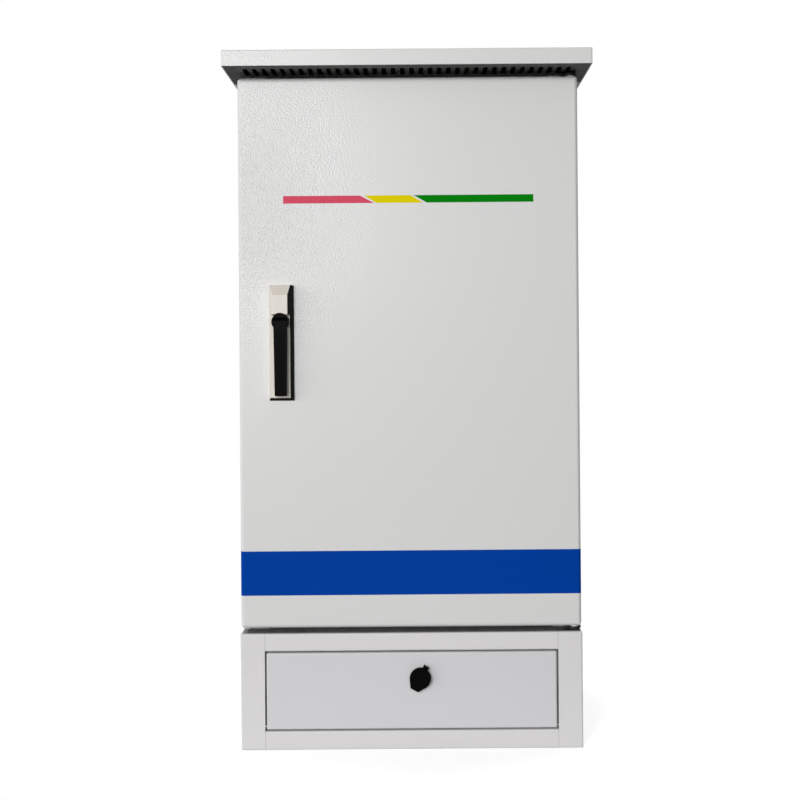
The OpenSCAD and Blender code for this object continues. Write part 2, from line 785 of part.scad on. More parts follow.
module power_supply() {
    vent = 2.5;
    vent_count = 7;
    color("silver") difference() {
        rail_device(supply_x, supply_w, lower_rail_z,
            device_outline(supply_h, supply_d, supply_nose_h, supply_nose_d), 1);
        terminal_screws(supply_x, supply_w, 5, lower_rail_z, supply_h, supply_d, supply_nose_h);
        for (k = [0 : vent_count - 1])
            slab([supply_x - cut, device_y - supply_d * (k + 1.5) / (vent_count + 2) - vent / 2,
                    lower_rail_z - supply_nose_h / 3],
                [supply_x + vent, device_y - supply_d * (k + 1.5) / (vent_count + 2) + vent / 2,
                    lower_rail_z + supply_nose_h / 3]);
    }
}

module network_switch() {
    port = [13.5, 10, 11];
    port_count = 5;
    port_pitch = 17;
    color("dimgray") difference() {
        rail_device(switch_x, switch_w, lower_rail_z,
            device_outline(supply_h, supply_d, supply_nose_h + 20, supply_d + 6), 1.5);
        for (k = [0 : port_count - 1])
            translate([switch_x + switch_w / 2, device_y - supply_d - 6,
                    lower_rail_z + (k - (port_count - 1) / 2) * port_pitch])
                cube(port, center = true);
    }
}

module terminal_blocks() {
    block_h = 52;
    block_d = 38;
    crown_h = 20;
    crown_d = 46;
    block_t = terminal_pitch - 0.2;
    screw_r = 2;
    color("gainsboro") for (k = [0 : terminal_count - 1]) difference() {
        rail_device(terminal_x + k * terminal_pitch, block_t, lower_rail_z,
            device_outline(block_h, block_d, crown_h, crown_d), 0.8);
        for (sz = [-1, 1])
            translate([terminal_x + k * terminal_pitch + block_t / 2, device_y - block_d - cut,
                    lower_rail_z + sz * (block_h + crown_h) / 4])
                rotate([-90, 0, 0]) cylinder(r = screw_r, h = 6);
    }
}

// Earth bar on two insulators at the foot of the plate
bar_h = 20;
bar_t = 4;
insulator_r = 9;
insulator_h = 26;
bar_screw_r = 2.5;

module insulator_places() {
    for (sx = [-1, 1]) translate([sx * (earth_len / 2 - bar_h), plate_y, earth_z])
        rotate([90, 0, 0]) children();
}

module earth_bar() {
    color("peru") difference() {
        slab([-earth_len / 2, plate_y - insulator_h - bar_t, earth_z - bar_h / 2],
            [earth_len / 2, plate_y - insulator_h, earth_z + bar_h / 2]);
        earth_screw_places() translate([0, 0, -bar_t - cut]) cylinder(r = bar_screw_r, h = bar_t + 2 * cut);
    }
}

module earth_bar_insulators() {
    waist = insulator_r - 2.5;
    rib = insulator_h / 5;
    color("firebrick") insulator_places() {
        cylinder(r = waist, h = insulator_h);
        for (k = [0, 2, 4]) translate([0, 0, k * rib]) cylinder(r = insulator_r, h = rib);
    }
}

earth_pitch = (earth_len - 4 * bar_h) / (earth_screws - 1);

module earth_screw_places() {
    for (k = [0 : earth_screws - 1])
        translate([(k - (earth_screws - 1) / 2) * earth_pitch, plate_y - insulator_h - bar_t, earth_z])
            rotate([90, 0, 0]) children();
}

module earth_bar_screws() {
    color("goldenrod") earth_screw_places() {
        cylinder(r = 1.9 * bar_screw_r, h = 1.4 * bar_screw_r, $fn = 6);
        translate([0, 0, -bar_t - bar_screw_r]) cylinder(r = bar_screw_r, h = bar_t + bar_screw_r + cut);
    }
}

// Equipment shelf: a folded tray on two angle brackets, with the controller standing on it
shelf_drop = 18;
shelf_half_w = inner_x - 2;
bracket_t = 2;
bracket_leg = 24;

module equipment_shelf() {
    vent_w = 8;
    vent_end = 45;
    vent_pitch = 60;
    color("lightgray") difference() {
        translate([0, shelf_front_y + shelf_d / 2, shelf_z])
            pan(2 * shelf_half_w, shelf_d, shelf_drop, plate_t, plate_t + 1, plate_t + 1, 0);
        for (k = [-3 : 3])
            translate([k * vent_pitch - vent_w / 2, shelf_front_y + vent_end, shelf_z - plate_t - cut])
                cube([vent_w, shelf_d - 2 * vent_end, plate_t + 2 * cut]);
    }
}

module shelf_brackets() {
    mid = bracket_t / 2;
    top = shelf_z - shelf_drop - mid;
    path = [[-inner_x + bracket_leg, top], [-inner_x + mid, top], [-inner_x + mid, top - bracket_leg]];
    color("lightgray") for (m = [0, 1]) mirror([m, 0, 0])
        translate([0, shelf_front_y + shelf_d, 0]) rotate([90, 0, 0]) linear_extrude(shelf_d)
            folded_section(path, bracket_t, bracket_t);
}

controller_foot_h = 4;
controller_y = shelf_front_y + shelf_d / 2;

module controller_case() {
    foot_r = 9;
    foot_in = 24;
    foot_x = controller_w / 2 - foot_in;
    foot_y = controller_d / 2 - foot_in;
    port = [14, 12, 12];
    port_pitch = 20;
    panel_in = 3;
    panel_h = controller_h - 24;
    fin_w = 4;
    fin_gap = 8;
    front = controller_y - controller_d / 2;
    top = shelf_z + controller_foot_h + controller_h;
    color("dimgray") difference() {
        union() {
            translate([0, controller_y, top])
                soft_block(controller_w, controller_d, controller_h, 4, 4);
            for (sx = [-1, 1]) for (sy = [-1, 1])
                translate([sx * foot_x, controller_y + sy * foot_y, shelf_z])
                    cylinder(r = foot_r, h = controller_foot_h + cut);
        }
        translate([0, front, top - controller_h / 2])
            cube([controller_w - 24, 2 * panel_in, panel_h], center = true);
        for (k = [0 : 5]) translate([(k - 5.5) * port_pitch, front + panel_in, top - controller_h / 2])
            cube(port, center = true);
        for (k = [-6 : 6])
            slab([k * (fin_w + fin_gap) * 2 - fin_w / 2, controller_y - controller_d / 3, top - fin_w],
                [k * (fin_w + fin_gap) * 2 + fin_w / 2, controller_y + controller_d / 3, top + cut]);
    }
}

// Roof fan under the top panel: frame with three struts, a stamped guard below, and the rotor
fan_z1 = inner_z1;
fan_z0 = fan_z1 - fan_t;
fan_hub_r = 20;
fan_shaft_r = 3;
strut_w = 5;
strut_t = 4;
guard_t = 1.5;

module fan_frame() {
    color("black") translate([0, fan_y, fan_z0]) difference() {
        union() {
            linear_extrude(fan_t) difference() {
                soft_outline(rectangle(fan_w, fan_w), 5);
                circle(r = fan_bore_r);
            }
            for (k = [0 : 2]) rotate(k * 120 + 30) translate([fan_hub_r - 2, -strut_w / 2, 0])
                cube([fan_bore_r - fan_hub_r + 4, strut_w, strut_t]);
            cylinder(r = fan_hub_r, h = strut_t);
        }
        translate([0, 0, -cut]) cylinder(r = fan_shaft_r + run_clear, h = strut_t + 2 * cut);
        translate([0, 0, -cut]) fan_corners() cylinder(r = fan_screw_r, h = fan_t + 2 * cut);
    }
}

module fan_guard() {
    wire = 2.4;
    ring_pitch = 9;
    outer = fan_bore_r + wire;
    color("silver") translate([0, fan_y, fan_z0 - guard_t]) linear_extrude(guard_t) difference() {
        union() {
            for (r = [outer : -ring_pitch : ring_pitch]) difference() {
                circle(r = r);
                circle(r = r - wire);
            }
            for (a = [45, 135]) rotate(a)
                square([2 * (fan_screw * sqrt(2) + 2 * fan_screw_r), 2.5 * fan_screw_r], center = true);
        }
        fan_corners() circle(r = fan_screw_r);
    }
}

module fan_rotor() {
    blade_count = 7;
    blade_t = 1.6;
    blade_pitch = 38;
    tip_gap = 1.5;
    hub_h = fan_t - strut_t - 1;
    color("dimgray") translate([0, fan_y, fan_z0 + strut_t + move_clear]) {
        cylinder(r = fan_hub_r - 1, h = hub_h);
        translate([0, 0, -strut_t - move_clear]) cylinder(r = fan_shaft_r, h = strut_t + 1);
        intersection() {
            cylinder(r = fan_bore_r - tip_gap, h = hub_h);
            for (k = [0 : blade_count - 1]) rotate(k * 360 / blade_count)
                translate([fan_hub_r - 3, 0, hub_h / 2]) rotate([blade_pitch, 0, 0])
                    translate([0, -fan_t, -blade_t / 2]) cube([fan_w / 2, 2 * fan_t, blade_t]);
        }
    }
}

// Door: a folded pan with return lips, a foam gasket, two hat stiffeners and a document pocket
module at_hinge_bushes() {
    translate([hinge_x, hinge_y, door_z1]) children();
    translate([hinge_x, hinge_y, door_z0]) mirror([0, 0, 1]) children();
}

collar_r = 10;
clamp_screw_r = 2.5;
clamp_up = housing_above - housing_slope - 12;
clamp_down = -housing_below + 16;

module door_panel() {
    color(paint) difference() {
        translate([0, door_face_y, (door_z0 + door_z1) / 2]) rotate([90, 0, 0])
            pan(body_w, door_h, door_fold, sheet_t, door_edge_r, door_corner_r, door_return);
        at_hinge_bushes() translate([0, 0, -door_fold / 2]) cylinder(r = hinge_bush_r, h = door_fold);
        at_handle() translate([0, 0, -sheet_t - cut]) cylinder(r = collar_r, h = sheet_t + 2 * cut);
        at_handle() for (y = [clamp_up, clamp_down]) translate([0, y, -sheet_t - cut])
            cylinder(r = clamp_screw_r, h = sheet_t + 2 * cut);
    }
}

module door_gasket() {
    seat_x = open_x + sheet_t / 2;
    mid_z = (open_z0 + open_z1) / 2;
    seat_h = open_z1 - open_z0 + sheet_t;
    gasket_clear = 0.3;
    gasket_d = lip_tip_y - gasket_clear - door_inner_y;
    color("dimgray") translate([0, door_inner_y + gasket_d, mid_z]) rotate([90, 0, 0])
        linear_extrude(gasket_d) difference() {
            soft_outline(rectangle(2 * seat_x + gasket_w, seat_h + gasket_w), gasket_w);
            soft_outline(rectangle(2 * seat_x - gasket_w, seat_h - gasket_w), gasket_w / 2);
        }
}

stiffener_foot = 10;
stiffener_flare = 3;

module stiffener(x) {
    base = door_inner_y + sheet_t / 2;
    crown = door_inner_y + stiffener_d - sheet_t / 2;
    half = stiffener_w / 2;
    flank = half + stiffener_flare;
    edge = flank + stiffener_foot;
    clear_of_gasket = gasket_w + 8;
    path = [[-edge, base], [-flank, base], [-half, crown], [half, crown], [flank, base], [edge, base]];
    color(inner_paint) translate([x, 0, 0]) run_z(open_z0 + clear_of_gasket, open_z1 - clear_of_gasket)
        folded_section(path, sheet_t, bend_r);
}

module door_left_stiffener() {
    stiffener(-stiffener_x);
}

module door_right_stiffener() {
    stiffener(stiffener_x);
}

module document_pocket() {
    wall = 2;
    front_lower = 30;
    stiffener_edge = stiffener_w / 2 + stiffener_flare + stiffener_foot;
    pocket_w = 2 * (stiffener_x - stiffener_edge - pocket_gap);
    z0 = door_z0 + pocket_up;
    color("gray") difference() {
        translate([0, door_inner_y + pocket_d, z0 + pocket_h / 2]) rotate([-90, 0, 0])
            soft_block(pocket_w, pocket_h, pocket_d, 4, 4);
        slab([-pocket_w / 2 + wall, door_inner_y + wall, z0 + wall],
            [pocket_w / 2 - wall, door_inner_y + pocket_d - wall, z0 + pocket_h + cut]);
        slab([-pocket_w / 2 + 6 * wall, door_inner_y + pocket_d / 2, z0 + pocket_h - front_lower],
            [pocket_w / 2 - 6 * wall, door_inner_y + pocket_d + cut, z0 + pocket_h + cut]);
    }
}

module hinge_bushes() {
    depth = 10;
    color("ivory") at_hinge_bushes() difference() {
        union() {
            translate([0, 0, -depth]) cylinder(r = hinge_bush_r, h = depth);
            cylinder(r = hinge_bush_r + 1, h = bush_flange_t);
        }
        translate([0, 0, -depth - cut]) cylinder(r = hinge_pin_r + run_clear, h = depth + 3 * cut);
    }
}

// Swing handle: a die-cast housing, a turning head with the spindle, and a lever that lifts on a pin.
// Its own axes: x to the right, y up, z out from the door's face, with the spindle at the origin.
module at_handle() {
    translate([handle_x, door_face_y, handle_z]) rotate([90, 0, 0]) children();
}

module run_side(half) {
    rotate([90, 0, 90]) linear_extrude(2 * half, center = true) children();
}

tongue_clear = 1.5;
tongue_z = door_face_y - body_front_y - sheet_t - tongue_clear;
square_w = 8;
collar_down = 12;
head_clear = 0.3;
head_z0 = tray_out + head_clear;
head_z1 = housing_out - head_clear;
lever_bed_t = 2;
lever_bed = head_z0 + lever_bed_t;
lever_bed_clear = 0.4;
lever_end_r = 4.6;
lever_axis_z = lever_bed + lever_bed_clear + lever_end_r;
lever_front_z = housing_out;
lever_back_z = tray_out + 2 * head_clear;

module handle_housing() {
    edge = 1.4;
    half_out = housing_out + 2;
    side_lean = (housing_w - housing_face_w) / 2 / housing_out;
    block_y = lever_w / 2 + 1;
    slope_low = 9;
    groove_w = 0.8;
    groove_x = -0.6;
    foot_slope = 5.5;
    screw_tip = 3;
    flank = [
        [-housing_w / 2, 0], [housing_w / 2, 0], [housing_w / 2 - side_lean * housing_out, housing_out],
        [-housing_w / 2 + side_lean * housing_out, housing_out]
    ];
    side = [
        [-housing_below, -cut], [housing_above, -cut], [housing_above, slope_low],
        [housing_above - housing_slope, housing_out], [block_y, housing_out], [block_y, tray_out],
        [-housing_below + foot_slope, tray_out]
    ];
    color("tan") at_handle() difference() {
        union() {
            intersection() {
                rotate([90, 0, 0]) translate([0, 0, -housing_above - cut])
                    linear_extrude(housing_above + housing_below + 2 * cut) soft_outline(flank, edge);
                run_side(housing_w) soft_outline(side, edge * 0.7);
                linear_extrude(half_out) translate([0, (housing_above - housing_below) / 2])
                    soft_outline(rectangle(housing_w + 1, housing_above + housing_below), 3);
            }
            translate([0, 0, -collar_down]) cylinder(r = collar_r, h = collar_down + cut);
        }
        translate([0, 0, -collar_down - cut]) cylinder(r = spindle_r + run_clear, h = collar_down + half_out);
        translate([0, 0, tray_out]) cylinder(r = head_r + move_clear, h = half_out);
        for (y = [clamp_up, clamp_down]) translate([0, y, -cut])
            cylinder(r = clamp_screw_r, h = tray_out - screw_tip);
        translate([groove_x, 0, 0]) run_side(groove_w / 2) polygon([
            [housing_above - housing_slope, housing_out - groove_w],
            [housing_above + cut, slope_low - groove_w],
            [housing_above + cut, half_out],
            [housing_above - housing_slope, half_out]
        ]);
    }
}

module handle_screws() {
    head_h = 3;
    color(steel) at_handle() for (y = [clamp_up, clamp_down]) translate([0, y, 0]) {
        translate([0, 0, -sheet_t - head_h]) cylinder(r = 2 * clamp_screw_r, h = head_h, $fn = 6);
        translate([0, 0, -sheet_t - cut]) cylinder(r = clamp_screw_r, h = sheet_t + cut + tray_out - 5);
    }
}

module handle_head() {
    slot_half = lever_w / 2 + head_clear;
    lever_end_clear = 1.6;
    square_short = 0.2;
    tap_r = 3;
    tap_deep = 12;
    color("black") at_handle() difference() {
        union() {
            translate([0, 0, head_z0]) cylinder(r = head_r, h = head_z1 - head_z0);
            translate([0, 0, tongue_z]) cylinder(r = spindle_r, h = head_z0 - tongue_z + cut);
            slab([-square_w / 2, -square_w / 2, tongue_z - tongue_t + square_short],
                [square_w / 2, square_w / 2, tongue_z + cut]);
        }
        slab([-slot_half, -2 * head_r, lever_bed],
            [slot_half, lever_end_r + lever_end_clear, 2 * housing_out]);
        translate([-head_r - cut, 0, lever_axis_z]) rotate([0, 90, 0])
            cylinder(r = lever_pin_r + run_clear, h = 2 * (head_r + cut));
        translate([0, 0, tongue_z - tongue_t - 2 * cut]) cylinder(r = tap_r, h = tap_deep);
    }
}

module latch_tongue() {
    boss = 11;
    tip = 9;
    fit = 0.1;
    color(steel) at_handle() translate([0, 0, tongue_z - tongue_t]) linear_extrude(tongue_t) difference() {
        soft_outline([[-boss, -boss], [boss, -boss], [boss, boss], [tip, tongue_reach], [-tip, tongue_reach],
            [-boss, boss]], 4);
        square(square_w + fit, center = true);
    }
}

module tongue_screw() {
    washer_r = 9;
    washer_t = 1.5;
    shank_r = 3;
    shank = 9;
    color(steel) at_handle() translate([0, 0, tongue_z - tongue_t]) {
        translate([0, 0, -washer_t]) cylinder(r = washer_r, h = washer_t);
        translate([0, 0, -washer_t - shank_r * 1.4]) cylinder(r = 1.8 * shank_r, h = shank_r * 1.4, $fn = 6);
        translate([0, 0, -washer_t]) cylinder(r = shank_r, h = shank);
    }
}

module handle_lever() {
    wall = 3;
    neck = head_r + 1;
    rise = 5;
    plan = [
        [-lever_w / 2, lever_end_r + 1], [-lever_tip_w / 2, -lever_len],
        [lever_tip_w / 2, -lever_len], [lever_w / 2, lever_end_r + 1]
    ];
    side = [
        [0, lever_axis_z + lever_end_r], [-neck, lever_front_z], [-lever_len, lever_front_z - 0.8],
        [-lever_len, lever_back_z], [-neck - rise, lever_back_z], [-neck + 1, lever_axis_z - lever_end_r],
        [0, lever_axis_z - lever_end_r]
    ];
    color("black") at_handle() difference() {
        intersection() {
            union() {
                run_side(lever_w) polygon(side);
                translate([-lever_w, 0, lever_axis_z]) rotate([0, 90, 0])
                    cylinder(r = lever_end_r, h = 2 * lever_w);
            }
            linear_extrude(2 * housing_out) soft_outline(plan, 2);
        }
        slab([-lever_tip_w / 2 + wall, -lever_len + wall, 0],
            [lever_tip_w / 2 - wall, -neck - rise - wall, lever_front_z - wall]);
        translate([-lever_w, 0, lever_axis_z]) rotate([0, 90, 0]) cylinder(r = lever_pin_r, h = 2 * lever_w);
    }
}

module lever_pin() {
    pin_half = head_r - 2 * head_clear;
    color(steel) at_handle() translate([-pin_half, 0, lever_axis_z]) rotate([0, 90, 0])
        cylinder(r = lever_pin_r, h = 2 * pin_half);
}

// Flap in the plinth: a folded pan on two pins, with a cam lock under a hinged dust cap
module flap_panel() {
    color(paint) difference() {
        translate([0, flap_face_y, (flap_z0 + flap_z1) / 2]) rotate([90, 0, 0])
            pan(2 * flap_half_w, flap_h, flap_fold, sheet_t, flap_edge_r, flap_edge_r, flap_return);
        for (sx = [-1, 1]) translate([sx * flap_half_w - 2 * sheet_t, flap_axis_y, flap_axis_z])
            rotate([0, 90, 0]) cylinder(r = flap_pin_r, h = 4 * sheet_t);
        at_lock() translate([0, 0, -sheet_t - cut]) cylinder(r = barrel_r, h = sheet_t + 2 * cut);
    }
}

module flap_hinge_pins() {
    pin_in = 8;
    pin_len = lug_x + lug_t + cut - flap_half_w + pin_in;
    color(steel) for (sx = [-1, 1])
        translate([sx * (flap_half_w - pin_in + pin_len / 2), flap_axis_y, flap_axis_z])
            rotate([0, 90, 0]) cylinder(r = flap_pin_r, h = pin_len, center = true);
}

// The lock's own axes: x to the right, y up, z out from the flap's face
module at_lock() {
    translate([lock_x, flap_face_y, lock_z]) rotate([90, 0, 0]) children();
}

module at_cap() {
    at_lock() rotate(-cap_lean) children();
}

bezel_h = 5;
cap_r = bezel_r + cap_over;
knuckle_r = 2.2;
knuckle_clear = 0.5;
cap_axis_y = bezel_r + knuckle_r + knuckle_clear;
cap_axis_z = bezel_h + 1.8;
cap_pin_r = 1;
knuckle_w = 3.2;
knuckle_side = 0.3;
cap_lug_t = 1.8;
cam_t = 3;
cam_clear = 0.8;
cam_z = -(flap_fold + move_clear + plinth_t + cam_clear);
cylinder_in = 0.4;

module cam_lock_body() {
    lug_gap = knuckle_w / 2 + knuckle_side;
    lug_root = cylinder_r + 4;
    color("black") {
        at_lock() difference() {
            union() {
                cylinder(r = bezel_r, h = bezel_h);
                translate([0, 0, cam_z + cylinder_in]) cylinder(r = barrel_r, h = -cam_z);
            }
            translate([0, 0, cam_z - cut])
                cylinder(r = cylinder_r + run_clear, h = bezel_h - cam_z + 2 * cut);
        }
        at_cap() {
            for (sx = [-1, 1]) translate([sx * (lug_gap + cap_lug_t / 2), 0, 0]) run_side(cap_lug_t / 2) {
                translate([cap_axis_y - knuckle_r, 0]) square([2 * knuckle_r, cap_axis_z]);
                translate([lug_root, 0]) square([cap_axis_y - lug_root, bezel_h]);
                translate([cap_axis_y, cap_axis_z]) circle(r = knuckle_r);
            }
            translate([-lug_gap - cap_lug_t, cap_axis_y, cap_axis_z]) rotate([0, 90, 0])
                cylinder(r = cap_pin_r, h = 2 * (lug_gap + cap_lug_t));
        }
    }
}

module cam_lock_nut() {
    nut_t = 4;
    color(steel) at_lock() translate([0, 0, -sheet_t - nut_t]) difference() {
        cylinder(r = barrel_r * 1.35, h = nut_t, $fn = 6);
        translate([0, 0, -cut]) cylinder(r = barrel_r, h = nut_t + 2 * cut);
    }
}

module cam_lock_cylinder() {
    key_w = 1.6;
    key_l = 9;
    key_deep = 2;
    rivet_r = 6;
    rivet_t = 1.6;
    color("silver") at_lock() difference() {
        union() {
            translate([0, 0, cam_z]) cylinder(r = cylinder_r, h = bezel_h - cylinder_in - cam_z);
            translate([0, 0, cam_z - cam_t / 2]) cube([square_w, square_w, cam_t + 2 * cut], center = true);
            translate([0, 0, cam_z - cam_t - rivet_t]) cylinder(r = rivet_r, h = rivet_t);
        }
        translate([0, 0, bezel_h]) cube([key_w, key_l, 2 * key_deep], center = true);
    }
}

module cam_lock_tongue() {
    boss = 9;
    tip = 7;
    fit = 0.1;
    color(steel) at_lock() translate([0, 0, cam_z - cam_t]) linear_extrude(cam_t) difference() {
        soft_outline([[-boss, -boss], [boss, -boss], [cam_reach, -tip], [cam_reach, tip], [boss, boss],
            [-boss, boss]], 3);
        square(square_w + fit, center = true);
    }
}

module dust_cap() {
    seat_clear = 0.3;
    notch_clear = 0.8;
    strap = 5;
    strap_t = 2;
    z0 = bezel_h + seat_clear;
    notch = knuckle_w / 2 + cap_lug_t + notch_clear;
    color("black") at_cap() difference() {
        union() {
            difference() {
                translate([0, 0, z0]) linear_extrude(cap_t) hull() {
                    circle(r = cap_r, $fn = 32);
                    translate([-cap_tab_w / 2, -cap_r - cap_tab]) square([cap_tab_w, cap_r]);
                }
                slab([-notch, cap_axis_y - knuckle_r - notch_clear, 0], [notch, 2 * cap_r, 3 * bezel_h]);
            }
            translate([-knuckle_w / 2, cap_r - strap, cap_axis_z - strap_t / 2])
                cube([knuckle_w, cap_axis_y - cap_r + strap, strap_t]);
            translate([-knuckle_w / 2, cap_axis_y, cap_axis_z]) rotate([0, 90, 0])
                cylinder(r = knuckle_r, h = knuckle_w);
        }
        translate([-knuckle_w, cap_axis_y, cap_axis_z]) rotate([0, 90, 0])
            cylinder(r = cap_pin_r + run_clear, h = 2 * knuckle_w);
    }
}

plinth_left_side();
plinth_right_side();
plinth_top_rail();
plinth_bottom_rail();
plinth_back_panel();
plinth_bolts();
flap_hinge_lugs();
left_side_panel();
right_side_panel();
back_panel();
top_panel();
floor_panel();
cable_grommets();
upper_hinge_bracket();
lower_hinge_bracket();
hinge_pins();
roof_cap();
front_eave();
roof_bolts();
mounting_plate();
plate_studs();
upper_device_rail();
lower_device_rail();
main_breaker();
breaker_toggle();
surge_arrester();
socket_outlet();
power_supply();
network_switch();
terminal_blocks();
earth_bar();
earth_bar_insulators();
earth_bar_screws();
equipment_shelf();
shelf_brackets();
controller_case();
fan_frame();
fan_guard();
fan_rotor();
door_panel();
door_gasket();
door_left_stiffener();
door_right_stiffener();
document_pocket();
hinge_bushes();
handle_housing();
handle_screws();
handle_head();
latch_tongue();
tongue_screw();
handle_lever();
lever_pin();
flap_panel();
flap_hinge_pins();
cam_lock_body();
cam_lock_nut();
cam_lock_cylinder();
cam_lock_tongue();
dust_cap();
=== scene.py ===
import math

import bmesh
import bpy
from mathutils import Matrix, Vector


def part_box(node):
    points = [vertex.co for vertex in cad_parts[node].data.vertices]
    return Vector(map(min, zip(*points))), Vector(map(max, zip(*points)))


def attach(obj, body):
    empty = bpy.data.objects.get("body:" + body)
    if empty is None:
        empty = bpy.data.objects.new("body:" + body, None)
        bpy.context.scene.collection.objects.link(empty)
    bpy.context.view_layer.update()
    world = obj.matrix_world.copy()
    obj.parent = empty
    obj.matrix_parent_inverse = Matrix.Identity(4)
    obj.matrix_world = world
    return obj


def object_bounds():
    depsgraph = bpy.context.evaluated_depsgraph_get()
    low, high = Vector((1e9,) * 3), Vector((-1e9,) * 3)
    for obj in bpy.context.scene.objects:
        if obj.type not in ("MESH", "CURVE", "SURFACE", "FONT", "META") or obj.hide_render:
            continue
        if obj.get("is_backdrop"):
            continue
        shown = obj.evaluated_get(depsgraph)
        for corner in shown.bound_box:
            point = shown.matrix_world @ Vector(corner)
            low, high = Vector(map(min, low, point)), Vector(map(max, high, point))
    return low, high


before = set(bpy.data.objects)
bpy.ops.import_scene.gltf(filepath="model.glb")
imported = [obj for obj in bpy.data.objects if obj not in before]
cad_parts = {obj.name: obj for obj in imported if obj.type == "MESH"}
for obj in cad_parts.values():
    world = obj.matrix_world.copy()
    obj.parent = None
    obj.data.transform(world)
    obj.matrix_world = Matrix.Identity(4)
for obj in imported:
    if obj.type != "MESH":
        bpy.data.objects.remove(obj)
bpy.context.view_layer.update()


# Plinth: the box that the cabinet stands on, with two folded steel sides, two rails and a back.
# It is welded, sprayed with light grey powder and baked, which leaves a fine orange-peel skin.
# The butt joints of rails and posts show as fine lines, and the ledge under the door carries painted shade,
# patchy and darkest furthest in.
def add(tree, kind, inputs=None, **settings):
    """A node of a shader or geometry tree, with its settings, its constants and its incoming links."""
    node = tree.nodes.new(kind)
    for name, value in settings.items():
        setattr(node, name, value)
    for key, value in (inputs or {}).items():
        if isinstance(value, bpy.types.NodeSocket):
            tree.links.new(value, node.inputs[key])
        else:
            node.inputs[key].default_value = value
    return node


def finish_group(name, inputs):
    """An empty finish: its named inputs, and the colour, roughness and height that it puts out."""
    group = bpy.data.node_groups.new(name, "ShaderNodeTree")
    for label, kind, value in inputs:
        group.interface.new_socket(label, in_out="INPUT", socket_type=kind).default_value = value
    for label, kind in (("Colour", "NodeSocketColor"), ("Roughness", "NodeSocketFloat"),
                        ("Height", "NodeSocketFloat")):
        group.interface.new_socket(label, in_out="OUTPUT", socket_type=kind)
    places = add(group, "ShaderNodeTexCoord").outputs["Object"]
    return group, add(group, "NodeGroupInput").outputs, places


def spread(tree, value, low, high):
    """A texture's middle range stretched between two values."""
    return add(tree, "ShaderNodeMapRange", {
        "Value": value, "From Min": 0.3, "From Max": 0.7, "To Min": low, "To Max": high}).outputs[0]


def toned(tree, colour, pattern, middle, strength):
    """A colour made lighter and darker where a pattern is above and below its middle."""
    offset = add(tree, "ShaderNodeMath", {0: pattern, 1: middle}, operation="SUBTRACT").outputs[0]
    tone = add(tree, "ShaderNodeMath", {0: offset, 1: strength, 2: 1.0}, operation="MULTIPLY_ADD").outputs[0]
    return add(tree, "ShaderNodeHueSaturation", {"Color": colour, "Value": tone}).outputs[0]


powder_coat, given, places = finish_group("powder_coat", (
    ("Colour", "NodeSocketColor", (0.7, 0.7, 0.7, 1)), ("Peel", "NodeSocketFloat", 300.0),
    ("Speckle", "NodeSocketFloat", 0.05), ("Build", "NodeSocketFloat", 1.0),
    ("Gloss Low", "NodeSocketFloat", 0.32), ("Gloss High", "NodeSocketFloat", 0.44)))
peel = add(powder_coat, "ShaderNodeTexNoise", {
    "Vector": places, "Scale": given["Peel"], "Detail": 1.5, "Roughness": 0.55}).outputs[0]
cloud = add(powder_coat, "ShaderNodeTexNoise", {"Vector": places, "Scale": 7.0, "Detail": 3.0}).outputs[0]
mottle = add(powder_coat, "ShaderNodeMath", {0: cloud, 1: 0.25, 2: peel}, operation="MULTIPLY_ADD").outputs[0]
add(powder_coat, "NodeGroupOutput", {
    "Colour": toned(powder_coat, given["Colour"], mottle, 0.625, given["Speckle"]),
    "Roughness": spread(powder_coat, cloud, given["Gloss Low"], given["Gloss High"]),
    "Height": add(powder_coat, "ShaderNodeMath", {0: peel, 1: given["Build"]},
                  operation="MULTIPLY").outputs[0]})


def surface(name, group, values, relief, **constants):
    """A material with a finish group's colour, roughness and relief, and constants on the shader itself."""
    material = bpy.data.materials.new(name)
    material.use_nodes = True
    tree = material.node_tree
    shader = tree.nodes["Principled BSDF"]
    finish = add(tree, "ShaderNodeGroup", values, node_tree=group)
    bump = add(tree, "ShaderNodeBump", {
        "Height": finish.outputs["Height"], "Strength": 1.0, "Distance": relief})
    tree.links.new(finish.outputs["Colour"], shader.inputs["Base Color"])
    tree.links.new(finish.outputs["Roughness"], shader.inputs["Roughness"])
    tree.links.new(bump.outputs["Normal"], shader.inputs["Normal"])
    for label, value in constants.items():
        shader.inputs[label.replace("_", " ")].default_value = value
    return material


def dress(material, *names):
    """CAD nodes take this material on every slot."""
    for name in names:
        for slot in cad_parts[name].material_slots:
            slot.material = material


def place_of(tree):
    """The three parts of a point's place in the shared frame."""
    return add(tree, "ShaderNodeSeparateXYZ", {0: add(tree, "ShaderNodeTexCoord").outputs["Object"]}).outputs


def past(tree, value, edge, step):
    """Nought on one side of an edge and one on the other, with a short step between them."""
    return add(tree, "ShaderNodeMapRange", {
        "Value": value, "From Min": edge, "From Max": edge + step}).outputs[0]


def both(tree, first, second, operation):
    """Two masks joined by a sum, a product, the larger or the smaller."""
    return add(tree, "ShaderNodeMath", {0: first, 1: second}, operation=operation).outputs[0]


def painted(material, mask, colour):
    """A second colour on a material, where the mask is one."""
    tree = material.node_tree
    base = tree.nodes["Principled BSDF"].inputs["Base Color"]
    mixed = add(tree, "ShaderNodeMix", {0: mask, 6: base.links[0].from_socket, 7: colour}, data_type="RGBA")
    tree.links.new(mixed.outputs[2], base)


def sheet_paint(name, colour):
    """Light grey powder on sheet steel."""
    return surface(name, powder_coat, {
        "Colour": colour, "Peel": 400.0, "Speckle": 0.02, "Build": 0.1,
        "Gloss Low": 0.29, "Gloss High": 0.35}, 0.0010, Specular_IOR_Level=0.6)


